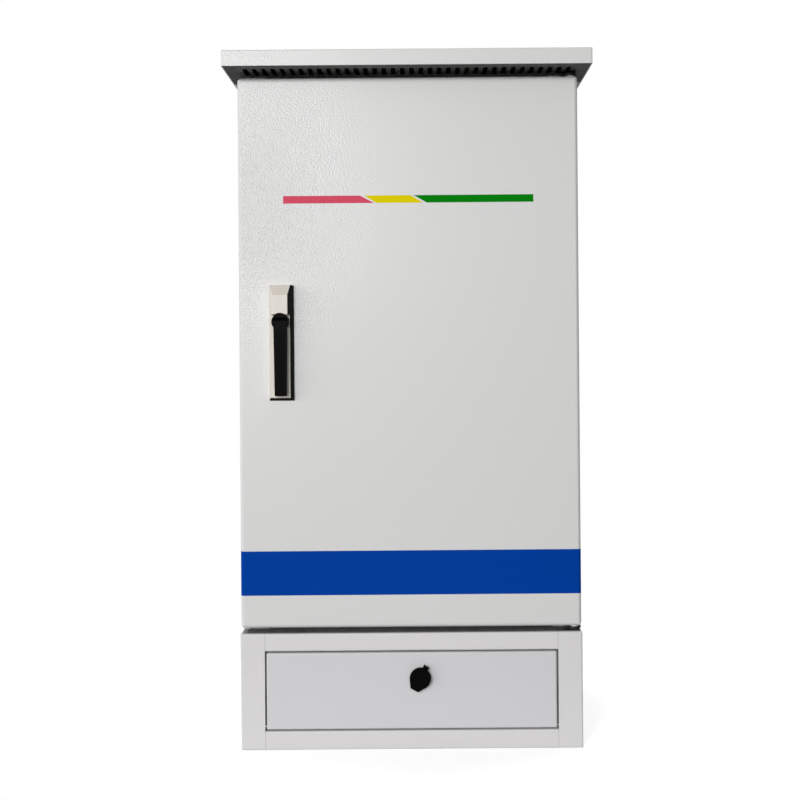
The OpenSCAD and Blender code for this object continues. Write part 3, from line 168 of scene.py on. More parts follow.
plinth_paint = sheet_paint("plinth_paint", (0.715, 0.700, 0.705, 1))
tree = plinth_paint.node_tree
rail_low, rail_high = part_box("plinth_top_rail")
seam_w, seam_edge = 0.0009, 0.0002
place = place_of(tree)
across = add(tree, "ShaderNodeMath", {0: place["X"]}, operation="ABSOLUTE").outputs[0]
seam = both(tree, past(tree, across, rail_high.x - seam_w, seam_edge),
            past(tree, across, rail_high.x, -seam_edge), "MULTIPLY")
painted(plinth_paint, seam, (0.45, 0.45, 0.45, 1))
patches = add(tree, "ShaderNodeTexNoise", {
    "Vector": add(tree, "ShaderNodeTexCoord").outputs["Object"], "Scale": 70.0, "Detail": 5.0}).outputs[0]
patches = spread(tree, patches, 0.86, 1.0)
ledge_skin, ledge_edge = 0.0004, 0.0002
ledge = past(tree, place["Z"], rail_high.z - ledge_skin, ledge_edge)
# Painted shade on the ledge under the door: dark from just behind its front edge, near black further in,
# broken up by patches.
LEDGE_SHADE = ((-0.002, 0.013, (0.035, 0.035, 0.033, 1)), (0.016, 0.012, (0.004, 0.004, 0.004, 1)))
for inward, step, colour in LEDGE_SHADE:
    ledge_shade = both(tree, ledge, past(tree, place["Y"], rail_low.y + inward, step), "MULTIPLY")
    painted(plinth_paint, both(tree, ledge_shade, patches, "MULTIPLY"), colour)
dress(plinth_paint, "plinth_left_side", "plinth_right_side", "plinth_top_rail", "plinth_bottom_rail",
      "plinth_back_panel", "flap_hinge_lugs")


# Plinth and roof bolts: hexagon bolts and nuts that join the plinth, the body and the roof from inside.
# Turned steel, zinc plated in a barrel, so they are bright with a cloudy grey bloom.
bare_metal, given, places = finish_group("bare_metal", (
    ("Colour", "NodeSocketColor", (0.6, 0.6, 0.6, 1)), ("Grain", "NodeSocketFloat", 300.0),
    ("Stretch", "NodeSocketVector", (1, 1, 1)), ("Bloom", "NodeSocketFloat", 0.15),
    ("Gloss Low", "NodeSocketFloat", 0.25), ("Gloss High", "NodeSocketFloat", 0.45)))
drawn = add(bare_metal, "ShaderNodeVectorMath", {0: places, 1: given["Stretch"]},
            operation="MULTIPLY").outputs[0]
lines = add(bare_metal, "ShaderNodeTexNoise", {
    "Vector": drawn, "Scale": given["Grain"], "Detail": 3.0}).outputs[0]
bloom = add(bare_metal, "ShaderNodeTexNoise", {"Vector": places, "Scale": 45.0, "Detail": 4.0}).outputs[0]
add(bare_metal, "NodeGroupOutput", {
    "Colour": toned(bare_metal, given["Colour"], bloom, 0.5, given["Bloom"]),
    "Roughness": spread(bare_metal, lines, given["Gloss Low"], given["Gloss High"]), "Height": lines})

zinc_plate = surface("zinc_plate", bare_metal, {
    "Colour": (0.46, 0.47, 0.48, 1), "Grain": 500.0, "Bloom": 0.35}, 0.00002, Metallic=1.0)
dress(zinc_plate, "plinth_bolts", "roof_bolts")


# Body: folded sides with jamb and rain lip, a flat back, a top and a floor, all in the same grey powder.
# The back is held by blind rivets through the rear edges of the sides.
# The powder lies thicker, with a coarser skin, on the upper part of the latch side.
cabinet_paint = sheet_paint("cabinet_paint", (0.70, 0.697, 0.69, 1))
tree = cabinet_paint.node_tree
places = add(tree, "ShaderNodeTexCoord").outputs["Object"]
away = add(tree, "ShaderNodeMapping", {
    "Vector": places, "Location": (0.312, 0.19, -0.672), "Scale": (1.3, 1.0, 0.85)}).outputs[0]
away = add(tree, "ShaderNodeVectorMath", {0: away}, operation="LENGTH").outputs["Value"]
build = add(tree, "ShaderNodeMapRange", {
    "Value": away, "From Min": 0.05, "From Max": 0.30, "To Min": 1.0, "To Max": 0.10}).outputs[0]
tree.links.new(build, tree.nodes["Group"].inputs["Build"])
dress(cabinet_paint, "left_side_panel", "right_side_panel", "back_panel", "top_panel", "floor_panel")


def tree_of(name, sockets):
    """An empty geometry tree with its named inputs, and the identifier of each."""
    tree = bpy.data.node_groups.new(name, "GeometryNodeTree")
    tree.interface.new_socket("Geometry", in_out="OUTPUT", socket_type="NodeSocketGeometry")
    keys = {}
    for label, kind in sockets:
        keys[label] = tree.interface.new_socket(label, in_out="INPUT", socket_type=kind).identifier
    return tree, keys, add(tree, "NodeGroupInput").outputs


ROWS = (("Columns", "NodeSocketInt"), ("Rows", "NodeSocketInt"), ("Column Pitch", "NodeSocketFloat"),
        ("Row Pitch", "NodeSocketFloat"), ("Radius", "NodeSocketFloat"), ("Height", "NodeSocketFloat"),
        ("Facing", "NodeSocketVector"), ("Middle", "NodeSocketVector"), ("Finish", "NodeSocketMaterial"))


def rows_of(tree, given, shape):
    """The shape at each point of a flat grid that is turned to its facing and moved to its middle."""
    span = {}
    for axis, count, pitch in (("X", "Columns", "Column Pitch"), ("Y", "Rows", "Row Pitch")):
        gaps = add(tree, "ShaderNodeMath", {0: given[count], 1: 1.0}, operation="SUBTRACT").outputs[0]
        span["Size " + axis] = add(tree, "ShaderNodeMath", {0: gaps, 1: given[pitch]},
                                   operation="MULTIPLY").outputs[0]
        span["Vertices " + axis] = given[count]
    grid = add(tree, "GeometryNodeMeshGrid", span).outputs["Mesh"]
    seated = add(tree, "GeometryNodeTransform", {
        "Geometry": grid, "Rotation": given["Facing"], "Translation": given["Middle"]}).outputs["Geometry"]
    points = add(tree, "GeometryNodeMeshToPoints", {"Mesh": seated}).outputs["Points"]
    placed = add(tree, "GeometryNodeInstanceOnPoints", {
        "Points": points, "Instance": shape, "Rotation": given["Facing"]}).outputs["Instances"]
    solid = add(tree, "GeometryNodeRealizeInstances", {"Geometry": placed}).outputs["Geometry"]
    finished = add(tree, "GeometryNodeSetMaterial", {
        "Geometry": solid, "Material": given["Finish"]}).outputs["Geometry"]
    add(tree, "NodeGroupOutput", {"Geometry": finished})


dome_rows, dome_keys, given = tree_of("dome_rows", ROWS)
ball = add(dome_rows, "GeometryNodeMeshUVSphere", {"Segments": 16, "Rings": 8, "Radius": 1.0}).outputs["Mesh"]
dome_size = add(dome_rows, "ShaderNodeCombineXYZ", {
    "X": given["Radius"], "Y": given["Radius"], "Z": given["Height"]}).outputs["Vector"]
rows_of(dome_rows, given, add(dome_rows, "GeometryNodeTransform", {
    "Geometry": ball, "Scale": dome_size}).outputs["Geometry"])


def in_rows(name, tree, keys, body, material, **values):
    """A piece made by a tree of rows, turned into a plain mesh that rides on a body."""
    seed = bpy.data.objects.new(name + "_seed", bpy.data.meshes.new(name + "_seed"))
    bpy.context.scene.collection.objects.link(seed)
    modifier = seed.modifiers.new("rows", "NODES")
    modifier.node_group = tree
    modifier[keys["Finish"]] = material
    for label, value in values.items():
        modifier[keys[label.replace("_", " ")]] = value
    state = bpy.context.evaluated_depsgraph_get()
    done = bpy.data.meshes.new_from_object(
        seed.evaluated_get(state), preserve_all_data_layers=True, depsgraph=state)
    seed.modifiers.remove(modifier)
    bpy.data.objects.remove(seed)
    piece = bpy.data.objects.new(name, done)
    bpy.context.scene.collection.objects.link(piece)
    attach(piece, body)
    return piece


TO_FRONT, TO_BACK, DOWN = (math.pi / 2, 0, 0), (math.pi / 2, 0, math.pi), (math.pi, 0, 0)
back_low, back_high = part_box("back_panel")
rivet_edge, rivet_end, rivet_rows = 0.010, 0.030, 8
back_rivets = in_rows(
    "back_rivets", dome_rows, dome_keys, "enclosure", cabinet_paint,
    Columns=2, Rows=rivet_rows, Radius=0.0042, Height=0.0016, Facing=TO_BACK,
    Column_Pitch=back_high.x - back_low.x - 2 * rivet_edge,
    Row_Pitch=(back_high.z - back_low.z - 2 * rivet_end) / (rivet_rows - 1),
    Middle=(0, back_high.y, (back_low.z + back_high.z) / 2))


# Cable entries: moulded rubber grommets, snapped into three holes in the floor.
# Soft black rubber with a dull, slightly dusty skin.
moulded, given, places = finish_group("moulded", (
    ("Colour", "NodeSocketColor", (0.5, 0.5, 0.5, 1)), ("Grain", "NodeSocketFloat", 1500.0),
    ("Bloom", "NodeSocketFloat", 0.1), ("Gloss Low", "NodeSocketFloat", 0.4),
    ("Gloss High", "NodeSocketFloat", 0.55)))
spark = add(moulded, "ShaderNodeTexNoise", {
    "Vector": places, "Scale": given["Grain"], "Detail": 2.0, "Roughness": 0.6}).outputs[0]
haze = add(moulded, "ShaderNodeTexNoise", {"Vector": places, "Scale": 30.0, "Detail": 3.0}).outputs[0]
add(moulded, "NodeGroupOutput", {
    "Colour": toned(moulded, given["Colour"], haze, 0.5, given["Bloom"]),
    "Roughness": spread(moulded, haze, given["Gloss Low"], given["Gloss High"]), "Height": spark})

grommet_rubber = surface("grommet_rubber", moulded, {
    "Colour": (0.02, 0.02, 0.02, 1), "Bloom": 0.5, "Gloss Low": 0.65, "Gloss High": 0.85}, 0.00005)
dress(grommet_rubber, "cable_grommets")


# Hinges: two steel plates welded to the jamb in the gaps over and under the door, each with a zinc pin.
# The plates are painted near black as painted shade, so that they don't show in the gaps; the pins stay bare.
bracket_shade_black = surface("bracket_shade_black", bare_metal, {
    "Colour": (0.012, 0.012, 0.013, 1), "Grain": 700.0, "Bloom": 0.4,
    "Gloss Low": 0.5, "Gloss High": 0.65}, 0.00002)
dress(bracket_shade_black, "upper_hinge_bracket", "lower_hinge_bracket")
dress(zinc_plate, "hinge_pins")


# Roof: a folded cap with a lip all round, in the cabinet's grey powder.
# The strip of punched vent slots that closes its front eave from below is painted dark grey, as painted shade
# under the eave. Behind the slots, close to the door, it is painted near black, as painted shadow.
dress(cabinet_paint, "roof_cap")
eave_shade_paint = surface("eave_shade_paint", powder_coat, {
    "Colour": (0.034, 0.035, 0.030, 1), "Speckle": 0.06}, 0.0002, Specular_IOR_Level=0.15)
tree = eave_shade_paint.node_tree
eave_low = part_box("front_eave")[0]
shadow_from, shadow_step = 0.036, 0.008
# Painted shadow: near black on the strip behind the slots, close to the door.
eave_shadow = past(tree, place_of(tree)["Y"], eave_low.y + shadow_from, shadow_step)
painted(eave_shade_paint, eave_shadow, (0.006, 0.006, 0.005, 1))
dress(eave_shade_paint, "front_eave")


# Mounting plate and device rails: a plate on four studs before the back, with two top-hat rails across it.
# The galvanised sheet shows large flat crystals, each a little lighter or darker than the next.
# Slotted screws through the bottom of each rail hold it to the plate.
spangled, given, places = finish_group("spangled", (
    ("Colour", "NodeSocketColor", (0.6, 0.6, 0.6, 1)), ("Crystal", "NodeSocketFloat", 90.0),
    ("Contrast", "NodeSocketFloat", 0.3)))
wander = add(spangled, "ShaderNodeTexNoise", {"Vector": places, "Scale": 60.0, "Detail": 2.0}).outputs[1]
wander = add(spangled, "ShaderNodeVectorMath", {0: wander, 1: (0.012, 0.012, 0.012), 2: places},
             operation="MULTIPLY_ADD").outputs[0]
crystal = add(spangled, "ShaderNodeTexVoronoi", {
    "Vector": wander, "Scale": given["Crystal"]}).outputs["Color"]
crystal = add(spangled, "ShaderNodeSeparateColor", {"Color": crystal}).outputs[0]
add(spangled, "NodeGroupOutput", {
    "Colour": toned(spangled, given["Colour"], crystal, 0.5, given["Contrast"]),
    "Roughness": spread(spangled, crystal, 0.44, 0.60), "Height": crystal})

galvanised = surface("galvanised", spangled, {
    "Colour": (0.40, 0.415, 0.43, 1), "Contrast": 0.32}, 0.00001, Metallic=1.0)
dress(galvanised, "mounting_plate")
dress(zinc_plate, "plate_studs", "upper_device_rail", "lower_device_rail")

slotted_heads, head_keys, given = tree_of("slotted_heads", ROWS)
bevel_share, slot_w_share, slot_l_share, slot_up_share = 0.86, 0.36, 3.0, 1.05
bevelled, slot_w, slot_l, slot_up = (
    add(slotted_heads, "ShaderNodeMath", {0: given[size], 1: share}, operation="MULTIPLY").outputs[0]
    for size, share in (("Radius", bevel_share), ("Radius", slot_w_share), ("Radius", slot_l_share),
                        ("Height", slot_up_share)))
head = add(slotted_heads, "GeometryNodeMeshCone", {
    "Vertices": 20, "Radius Top": bevelled, "Radius Bottom": given["Radius"], "Depth": given["Height"]},
    fill_type="NGON").outputs["Mesh"]
slot_size = add(slotted_heads, "ShaderNodeCombineXYZ", {
    "X": slot_l, "Y": slot_w, "Z": given["Height"]}).outputs["Vector"]
slot_at = add(slotted_heads, "ShaderNodeCombineXYZ", {"Z": slot_up}).outputs["Vector"]
saw = add(slotted_heads, "GeometryNodeMeshCube", {"Size": slot_size}).outputs["Mesh"]
saw = add(slotted_heads, "GeometryNodeTransform", {
    "Geometry": saw, "Translation": slot_at}).outputs["Geometry"]
rows_of(slotted_heads, given, add(slotted_heads, "GeometryNodeMeshBoolean", {0: head, 1: saw},
                                  operation="DIFFERENCE").outputs["Mesh"])


def slotted_screws(name, **values):
    """Zinc-plated slotted screw heads in rows inside the cabinet."""
    piece = in_rows(name, slotted_heads, head_keys, "enclosure", zinc_plate, **values)


upper_low, upper_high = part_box("upper_device_rail")
lower_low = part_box("lower_device_rail")[0]
rail_sheet, rail_screw_count = 0.001, 4
slotted_screws("rail_screws", Columns=rail_screw_count, Rows=2,
               Column_Pitch=(upper_high.x - upper_low.x) / rail_screw_count,
               Row_Pitch=upper_low.z - lower_low.z, Radius=0.0042, Height=0.0024, Facing=TO_FRONT,
               Middle=(0, upper_high.y - rail_sheet, (lower_low.z + upper_high.z) / 2))


# Devices on the upper rail: breaker, surge arrester and socket outlet in light grey moulded housings.
# They clip on the rail, and the clamp screws at the bottom of their wells have a slotted head.
# A green flag shows in the small window of each module of the arrester.
HOUSING_GREY = (0.72, 0.72, 0.70, 1)
device_plastic = surface("device_plastic", moulded, {"Colour": HOUSING_GREY, "Bloom": 0.06}, 0.00003)
dress(device_plastic, "main_breaker", "socket_outlet")


def clamp_screws(node, count, step_back, well, rows_apart, radius, spare=0.0):
    """Screw heads at the bottom of the wells of a rail device, along its width."""
    head_share = 0.55
    low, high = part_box(node)
    slotted_screws(node + "_screws", Columns=count, Rows=2, Column_Pitch=(high.x - low.x + spare) / count,
                   Row_Pitch=rows_apart, Radius=radius, Height=head_share * well, Facing=TO_FRONT,
                   Middle=((low.x + high.x) / 2, low.y + step_back + well, (low.z + high.z) / 2))


for device in ("main_breaker", "surge_arrester"):
    clamp_screws(device, count=4, step_back=0.018, well=0.004, rows_apart=0.065, radius=0.0027)

arrester_plastic = surface("arrester_plastic", moulded, {"Colour": HOUSING_GREY, "Bloom": 0.06}, 0.00003)
tree = arrester_plastic.node_tree
arrester_low, arrester_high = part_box("surge_arrester")
window_up, window_half, window_sunk, window_floor, flag_edge = 0.01125, 0.0021, 0.0002, 0.0007, 0.0001
window_z = (arrester_low.z + arrester_high.z) / 2 + window_up
place = place_of(tree)
sunk = past(tree, place["Y"], arrester_low.y + window_sunk, flag_edge)
shallow = past(tree, place["Y"], arrester_low.y + window_floor, -flag_edge)
upper = past(tree, place["Z"], window_z - window_half, flag_edge)
lower = past(tree, place["Z"], window_z + window_half, -flag_edge)
flag = both(tree, both(tree, sunk, shallow, "MULTIPLY"), both(tree, upper, lower, "MULTIPLY"), "MULTIPLY")
painted(arrester_plastic, flag, (0.04, 0.36, 0.07, 1))
dress(arrester_plastic, "surge_arrester")

black_plastic = surface("black_plastic", moulded, {
    "Colour": (0.022, 0.022, 0.023, 1), "Bloom": 0.3}, 0.00003)
dress(black_plastic, "breaker_toggle")


# Devices on the lower rail: a power supply in an anodised case, a dark network switch and a row of terminals.
# Each terminal has two clamp screws; the last ones are blue for neutral and green for earth.
# The switch has a lamp beside each port.
anodised = surface("anodised", bare_metal, {
    "Colour": (0.42, 0.43, 0.44, 1), "Grain": 260.0, "Stretch": (1, 1, 0.04), "Bloom": 0.1,
    "Gloss Low": 0.36, "Gloss High": 0.5}, 0.00001, Metallic=1.0)
dress(anodised, "power_supply")
clamp_screws("power_supply", count=5, step_back=0.012, well=0.004, rows_apart=0.104, radius=0.0027)

switch_case = surface("switch_case", moulded, {
    "Colour": (0.055, 0.06, 0.065, 1), "Bloom": 0.2, "Grain": 900.0}, 0.00005)
dress(switch_case, "network_switch")

terminal_low, terminal_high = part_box("terminal_blocks")
terminal_count, terminal_gap = 14, 0.0002
terminal_pitch = (terminal_high.x - terminal_low.x + terminal_gap) / terminal_count
terminal_plastic = surface("terminal_plastic", moulded, {
    "Colour": (0.52, 0.52, 0.50, 1), "Bloom": 0.08}, 0.00003)
tree = terminal_plastic.node_tree
for blocks_left, colour in ((4, (0.02, 0.12, 0.42, 1)), (2, (0.05, 0.30, 0.04, 1))):
    first_x = terminal_high.x - blocks_left * terminal_pitch
    painted(terminal_plastic, past(tree, place_of(tree)["X"], first_x, terminal_gap / 2), colour)
dress(terminal_plastic, "terminal_blocks")
clamp_screws("terminal_blocks", terminal_count, step_back=0.008, well=0.005, rows_apart=0.036,
             radius=0.0018, spare=terminal_gap)

lamp_green = surface("lamp_green", moulded, {
    "Colour": (0.10, 0.42, 0.12, 1), "Bloom": 0.3, "Gloss Low": 0.12, "Gloss High": 0.2}, 0.00001)
switch_low, switch_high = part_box("network_switch")
lamp_inset = 0.009
in_rows("switch_lamps", dome_rows, dome_keys, "enclosure", lamp_green, Columns=1, Rows=5,
        Column_Pitch=0.0, Row_Pitch=0.017, Radius=0.0013, Height=0.001, Facing=TO_FRONT,
        Middle=(switch_high.x - lamp_inset, switch_low.y, (switch_low.z + switch_high.z) / 2))


# Earth bar: a flat copper bar on two ribbed resin insulators, with a row of brass screws for earth wires.
# The copper is bare and has begun to brown.
copper = surface("copper", bare_metal, {
    "Colour": (0.70, 0.36, 0.22, 1), "Grain": 300.0, "Stretch": (0.05, 1, 1), "Bloom": 0.5},
    0.00002, Metallic=1.0)
brass = surface("brass", bare_metal, {"Colour": (0.76, 0.56, 0.24, 1), "Bloom": 0.3}, 0.00001, Metallic=1.0)
insulator_resin = surface("insulator_resin", moulded, {
    "Colour": (0.38, 0.03, 0.025, 1), "Gloss Low": 0.15, "Gloss High": 0.25}, 0.00002)
dress(copper, "earth_bar")
dress(brass, "earth_bar_screws")
dress(insulator_resin, "earth_bar_insulators")


# Shelf and controller: a galvanised tray on two angle brackets, with a dark finned controller standing on it.
# Its recessed front has a block of lamps to the right of the ports.
dress(galvanised, "equipment_shelf")
dress(zinc_plate, "shelf_brackets")
controller_shell = surface("controller_shell", moulded, {
    "Colour": (0.07, 0.075, 0.08, 1), "Bloom": 0.2, "Grain": 700.0}, 0.00006)
dress(controller_shell, "controller_case")
case_low, case_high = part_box("controller_case")
panel_in, panel_down, lamps_x = 0.003, 0.039, 0.080
in_rows("controller_lamps", dome_rows, dome_keys, "enclosure", lamp_green, Columns=8, Rows=2,
        Column_Pitch=0.0125, Row_Pitch=0.022, Radius=0.0016, Height=0.0013, Facing=TO_FRONT,
        Middle=(lamps_x, case_low.y + panel_in, case_high.z - panel_down))


# Roof fan: a black moulded frame under the top panel, with a seven-blade rotor on its hub.
# A plated wire guard is screwed on from below at its four corners.
dress(black_plastic, "fan_frame", "fan_rotor")
dress(zinc_plate, "fan_guard")
fan_low, fan_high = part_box("fan_frame")
guard_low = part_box("fan_guard")[0]
fan_middle = (fan_low + fan_high) / 2
fan_screw_inset = 0.0075
fan_screw_apart = fan_high.x - fan_low.x - 2 * fan_screw_inset
slotted_screws("fan_screws", Columns=2, Rows=2, Column_Pitch=fan_screw_apart, Row_Pitch=fan_screw_apart,
               Radius=0.0042, Height=0.0026, Facing=DOWN, Middle=(fan_middle.x, fan_middle.y, guard_low.z))


# Door: a folded pan with rounded edges, in the cabinet's grey powder, on two plastic bushes.
# Inside it has a poured foam gasket, two spot-welded hat stiffeners and a document pocket.
dress(cabinet_paint, "door_panel", "door_left_stiffener", "door_right_stiffener")
gasket_foam = surface("gasket_foam", moulded, {
    "Colour": (0.05, 0.05, 0.055, 1), "Grain": 600.0, "Bloom": 0.4,
    "Gloss Low": 0.8, "Gloss High": 0.95}, 0.0003)
dress(gasket_foam, "door_gasket")
bush_plastic = surface("bush_plastic", moulded, {"Colour": (0.78, 0.75, 0.66, 1)}, 0.00002)
dress(bush_plastic, "hinge_bushes")
pocket_plastic = surface("pocket_plastic", moulded, {
    "Colour": (0.30, 0.31, 0.32, 1), "Grain": 800.0, "Bloom": 0.12}, 0.00006)
dress(pocket_plastic, "document_pocket")

sheet_t, foot_mid, weld_end, weld_rows = 0.0015, 0.005, 0.025, 13
for side in ("left", "right"):
    low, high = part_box("door_" + side + "_stiffener")
    welds = in_rows(
        side + "_stiffener_spot_welds", dome_rows, dome_keys, "door", cabinet_paint,
        Columns=2, Rows=weld_rows, Radius=0.0032, Height=0.0003, Facing=TO_BACK,
        Column_Pitch=high.x - low.x - 2 * foot_mid,
        Row_Pitch=(high.z - low.z - 2 * weld_end) / (weld_rows - 1),
        Middle=((low.x + high.x) / 2, low.y + sheet_t, (low.z + high.z) / 2))


# Film on the door: cut vinyl, a stripe in three colours with slanted joints and a blue band round both edges.
# The film is a tenth of a millimetre thick and lets the powder's skin show through a little.
FILM_GAP, FILM_TOP = 0.00003, 0.00015


def piece_from(name, shape, material, body):
    """A closed bmesh as a piece on a body."""
    bmesh.ops.recalc_face_normals(shape, faces=shape.faces)
    mesh = bpy.data.meshes.new(name)
    shape.to_mesh(mesh)
    shape.free()
    mesh.materials.append(material)
    piece = bpy.data.objects.new(name, mesh)
    bpy.context.scene.collection.objects.link(piece)
    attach(piece, body)


def film(name, colour):
    """Coloured vinyl with a low sheen."""
    return surface(name, powder_coat, {
        "Colour": colour, "Speckle": 0.06, "Gloss Low": 0.42, "Gloss High": 0.55}, 0.00006,
        Specular_IOR_Level=0.02)


door_low, door_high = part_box("door_panel")
stripe_z, stripe_half = 0.805, 0.0055
STRIPES = {
    "stripe_red": ((0.72, 0.085, 0.148, 1), (-0.1835, -0.1835), (-0.071, -0.050)),
    "stripe_yellow": ((0.79, 0.66, 0.001, 1), (-0.065, -0.0465), (0.003, 0.022)),
    "stripe_green": ((0.0003, 0.222, 0.003, 1), (0.008, 0.0275), (0.184, 0.184)),
}
for name, (colour, left, right) in STRIPES.items():
    shape = bmesh.new()
    corners = ((left[0], stripe_half), (left[1], -stripe_half),
               (right[1], -stripe_half), (right[0], stripe_half))
    under, over = ([shape.verts.new((x, door_low.y - out, stripe_z + z)) for x, z in corners]
                   for out in (FILM_GAP, FILM_TOP))
    for k in range(4):
        shape.faces.new((under[k - 1], under[k], over[k], over[k - 1]))
    shape.faces.new(under)
    shape.faces.new(over)
    piece_from(name, shape, film(name, colour), "door")

band_low, band_high = 0.224, 0.289
edge_r, edge_steps, band_short = 0.005, 12, 0.001
band_back = door_high.y - band_short


def door_skin(out):
    """The door's outline from its left flank round the face to its right flank, that far off the sheet."""
    path = [(door_low.x - out, band_back)]
    for sign in (-1, 1):
        centre = sign * (door_high.x - edge_r)
        for k in range(edge_steps + 1):
            turn = math.pi / 2 * (k / edge_steps if sign < 0 else 1 - k / edge_steps)
            path.append((centre + sign * (edge_r + out) * math.cos(turn),
                         door_low.y + edge_r - (edge_r + out) * math.sin(turn)))
    return path + [(door_high.x + out, band_back)]


shape = bmesh.new()
section = ((band_low, FILM_GAP), (band_low, FILM_TOP), (band_high, FILM_TOP), (band_high, FILM_GAP))
rings = [[shape.verts.new((x, y, z)) for x, y in door_skin(out)] for z, out in section]
for k in range(4):
    near, far = rings[k - 1], rings[k]
    for i in range(len(near) - 1):
        shape.faces.new((near[i], near[i + 1], far[i + 1], far[i]))
for end in (0, -1):
    shape.faces.new([ring[end] for ring in rings])
piece_from("band_blue", shape, film("band_blue", (0.0003, 0.050, 0.35, 1)), "door")


# Swing handle: a die-cast housing clamped to the door from behind, with a satin nickel face.
# A black turning head and lever sit in it; the latch tongue is on the spindle's square end.
# On the hinge side and under the foot, the housing is painted near black as painted shade.
BLACK_AND_SHADE = (0.0024, 0.0024, 0.0026, 1)
satin_nickel = surface("satin_nickel", bare_metal, {
    "Colour": (0.78, 0.73, 0.66, 1), "Grain": 900.0, "Bloom": 0.08, "Gloss Low": 0.42, "Gloss High": 0.55},
    0.00001, Specular_IOR_Level=0.03, Coat_Roughness=0.4)
head_low, head_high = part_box("handle_head")
spindle_x, spindle_z = (head_low.x + head_high.x) / 2, (head_low.z + head_high.z) / 2
flank_at, flank_lean, foot_at, paint_edge = 0.0148, 0.157, 0.111, 0.0003
tree = satin_nickel.node_tree
place = place_of(tree)
depth = add(tree, "ShaderNodeMath", {0: place["Y"], 1: -flank_lean, 2: flank_lean * door_low.y},
            operation="MULTIPLY_ADD").outputs[0]
flank = past(tree, both(tree, place["X"], depth, "ADD"), spindle_x + flank_at, paint_edge)
foot = past(tree, place["Z"], spindle_z - foot_at, -paint_edge)
flank_shade_mask = both(tree, flank, foot, "MAXIMUM")
# Painted shade: the flank on the hinge side and the foot in near black, with no coat there.
painted(satin_nickel, flank_shade_mask, BLACK_AND_SHADE)
sheen = add(tree, "ShaderNodeMapRange", {"Value": flank_shade_mask, "To Min": 0.6, "To Max": 0.0}).outputs[0]
tree.links.new(sheen, tree.nodes["Principled BSDF"].inputs["Coat Weight"])
dress(satin_nickel, "handle_housing")
handle_black = surface("handle_black", powder_coat, {
    "Colour": BLACK_AND_SHADE, "Peel": 900.0, "Speckle": 0.2, "Gloss Low": 0.40, "Gloss High": 0.50}, 0.00003,
    Specular_IOR_Level=0.03)
dress(handle_black, "handle_head", "handle_lever")
dress(zinc_plate, "handle_screws", "latch_tongue", "tongue_screw", "lever_pin")


# Flap, lock and dust cap: a folded flap that drops down on two pins, with a cam lock behind a moulded cap.
# The lock's body is black casting, its cylinder is chromed, its nut and tongue are zinc plated.
dress(sheet_paint("flap_paint", (0.652, 0.652, 0.666, 1)), "flap_panel")
dress(zinc_plate, "flap_hinge_pins", "cam_lock_nut", "cam_lock_tongue")
dress(handle_black, "cam_lock_body")
chrome = surface("chrome", bare_metal, {
    "Colour": (0.72, 0.72, 0.73, 1), "Bloom": 0.05, "Gloss Low": 0.08, "Gloss High": 0.16}, 0.000005,
    Metallic=1.0)
dress(chrome, "cam_lock_cylinder")
cap_plastic = surface("cap_plastic", moulded, {
    "Colour": BLACK_AND_SHADE, "Grain": 1200.0, "Bloom": 0.3, "Gloss Low": 0.4, "Gloss High": 0.5}, 0.00004,
    Specular_IOR_Level=0.03)
dress(cap_plastic, "dust_cap")


# Studio: a pale floor that fades out into a white surround, and one large soft light from the front left.
# In front the surround is darker to the right, above and below.
# Behind, it is brightest above and to the left, so that the sides, the back and the top are lit too.
floor_r, fade_from, fade_to = 1.0, 0.28, 0.65
shape = bmesh.new()
bmesh.ops.create_circle(shape, cap_ends=True, radius=floor_r, segments=96)
floor_mesh = bpy.data.meshes.new("floor")
shape.to_mesh(floor_mesh)
shape.free()
floor = bpy.data.objects.new("floor", floor_mesh)
bpy.context.scene.collection.objects.link(floor)
pale = bpy.data.materials.new("pale_floor")
pale.use_nodes = True
tree = pale.node_tree
shader = tree.nodes["Principled BSDF"]
for label, value in (("Base Color", (0.92, 0.92, 0.92, 1)), ("Roughness", 0.9), ("Specular IOR Level", 0.1),
                     ("Emission Color", (1, 1, 1, 1)), ("Emission Strength", 0.5)):
    shader.inputs[label].default_value = value
far = add(tree, "ShaderNodeVectorMath", {0: add(tree, "ShaderNodeTexCoord").outputs["Object"]},
          operation="LENGTH").outputs["Value"]
fade = add(tree, "ShaderNodeMapRange", {
    "Value": far, "From Min": fade_from, "From Max": fade_to, "To Min": 1.0, "To Max": 0.0},
    interpolation_type="SMOOTHSTEP")
bounced = add(tree, "ShaderNodeLightPath").outputs["Is Diffuse Ray"]
thin = add(tree, "ShaderNodeMath", {0: bounced, 1: -0.65, 2: 1.0}, operation="MULTIPLY_ADD").outputs[0]
tree.links.new(both(tree, fade.outputs[0], thin, "MULTIPLY"), shader.inputs["Alpha"])
floor_mesh.materials.append(pale)
floor.visible_glossy = False
floor.visible_shadow = False
floor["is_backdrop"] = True

studio = bpy.data.worlds.new("studio")
bpy.context.scene.world = studio
studio.use_nodes = True
tree = studio.node_tree
tree.nodes.clear()
way = add(tree, "ShaderNodeTexCoord").outputs["Generated"]
light_level = None
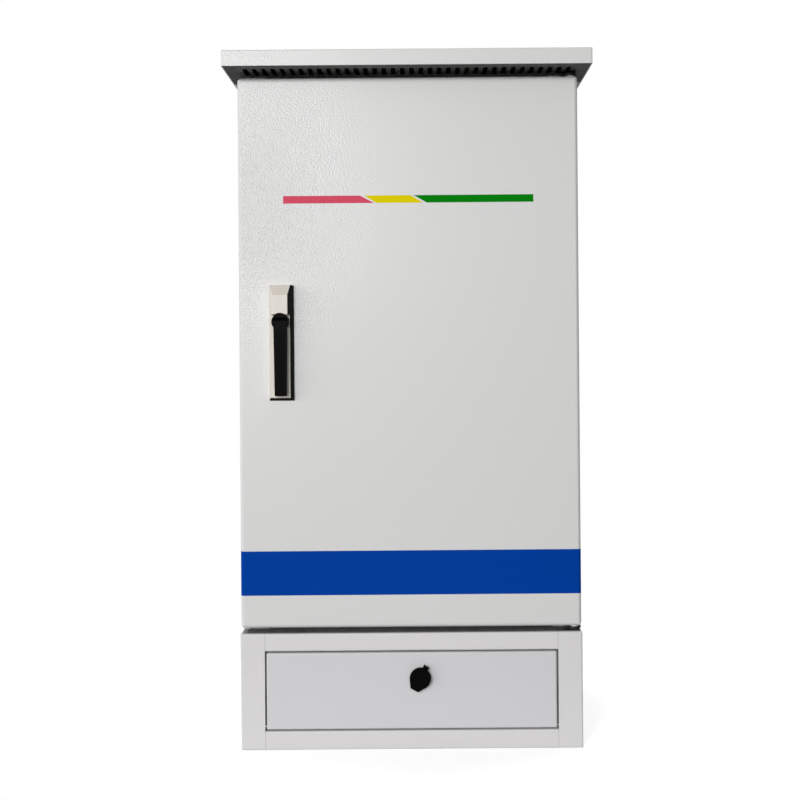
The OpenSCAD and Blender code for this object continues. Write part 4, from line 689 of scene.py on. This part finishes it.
for side, start, end, dim, bright in (
        (Vector((-0.75, -0.65, 0.1)).normalized(), 0.0, 1.0, 1.3, 2.6),
        (Vector((-1, 0, 0)), -0.7, 0.1, 0.2, 1.0),
        (Vector((0, 0, 1)), -0.3, 0.0, 0.04, 1.0),
        (Vector((0, 0, -1)), -0.35, -0.1, 0.12, 1.0)):
    towards = add(tree, "ShaderNodeVectorMath", {0: way, 1: side}, operation="DOT_PRODUCT").outputs["Value"]
    share = add(tree, "ShaderNodeMapRange", {
        "Value": towards, "From Min": start, "From Max": end, "To Min": dim, "To Max": bright}).outputs[0]
    light_level = both(tree, light_level, share, "MULTIPLY") if light_level else share
way = add(tree, "ShaderNodeSeparateXYZ", {0: way}).outputs
back_level = add(tree, "ShaderNodeMapRange", {
    "Value": way["Z"], "From Min": -0.2, "From Max": 0.8, "To Min": 0.2, "To Max": 1.3}).outputs[0]
to_right = add(tree, "ShaderNodeMapRange", {
    "Value": way["X"], "From Min": -1.0, "From Max": 1.0, "To Min": 1.7, "To Max": 1.0}).outputs[0]
back_level = both(tree, back_level, to_right, "MULTIPLY")
light_level = add(tree, "ShaderNodeMix", {
    0: past(tree, way["Y"], 0.0, 0.3), 2: light_level, 3: back_level}).outputs[0]
surround = add(tree, "ShaderNodeBackground", {"Color": (1, 1, 1, 1), "Strength": light_level}).outputs[0]
white = add(tree, "ShaderNodeBackground", {"Color": (1, 1, 1, 1), "Strength": 1.0}).outputs[0]
seen = add(tree, "ShaderNodeLightPath").outputs["Is Camera Ray"]
add(tree, "ShaderNodeOutputWorld", {
    "Surface": add(tree, "ShaderNodeMixShader", {0: seen, 1: surround, 2: white}).outputs[0]})


def soft_light(name, place, target, size, power):
    """A square area light that faces a point."""
    data = bpy.data.lights.new(name, "AREA")
    data.size = size
    data.energy = power
    lamp = bpy.data.objects.new(name, data)
    lamp.location = place
    lamp.rotation_euler = (Vector(target) - Vector(place)).to_track_quat("-Z", "Y").to_euler()
    bpy.context.scene.collection.objects.link(lamp)


soft_light("key_light", place=(-1.25, -4.2, 1.55), target=(0, -0.2, 0.6), size=0.9, power=74.0)

camera_data = bpy.data.cameras.new("camera")
camera_data.lens = 56.604
camera_data.sensor_width = 36.0
camera_data.shift_x = -0.02375
camera_data.shift_y = -0.05995
camera = bpy.data.objects.new("camera", camera_data)
camera.location = (0.0143, -2.0371, 0.580)
camera.rotation_euler = (math.pi / 2, math.radians(0.45), 0)
bpy.context.scene.collection.objects.link(camera)
bpy.context.scene.camera = camera
bpy.context.scene.view_settings.view_transform = "Standard"

low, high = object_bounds()
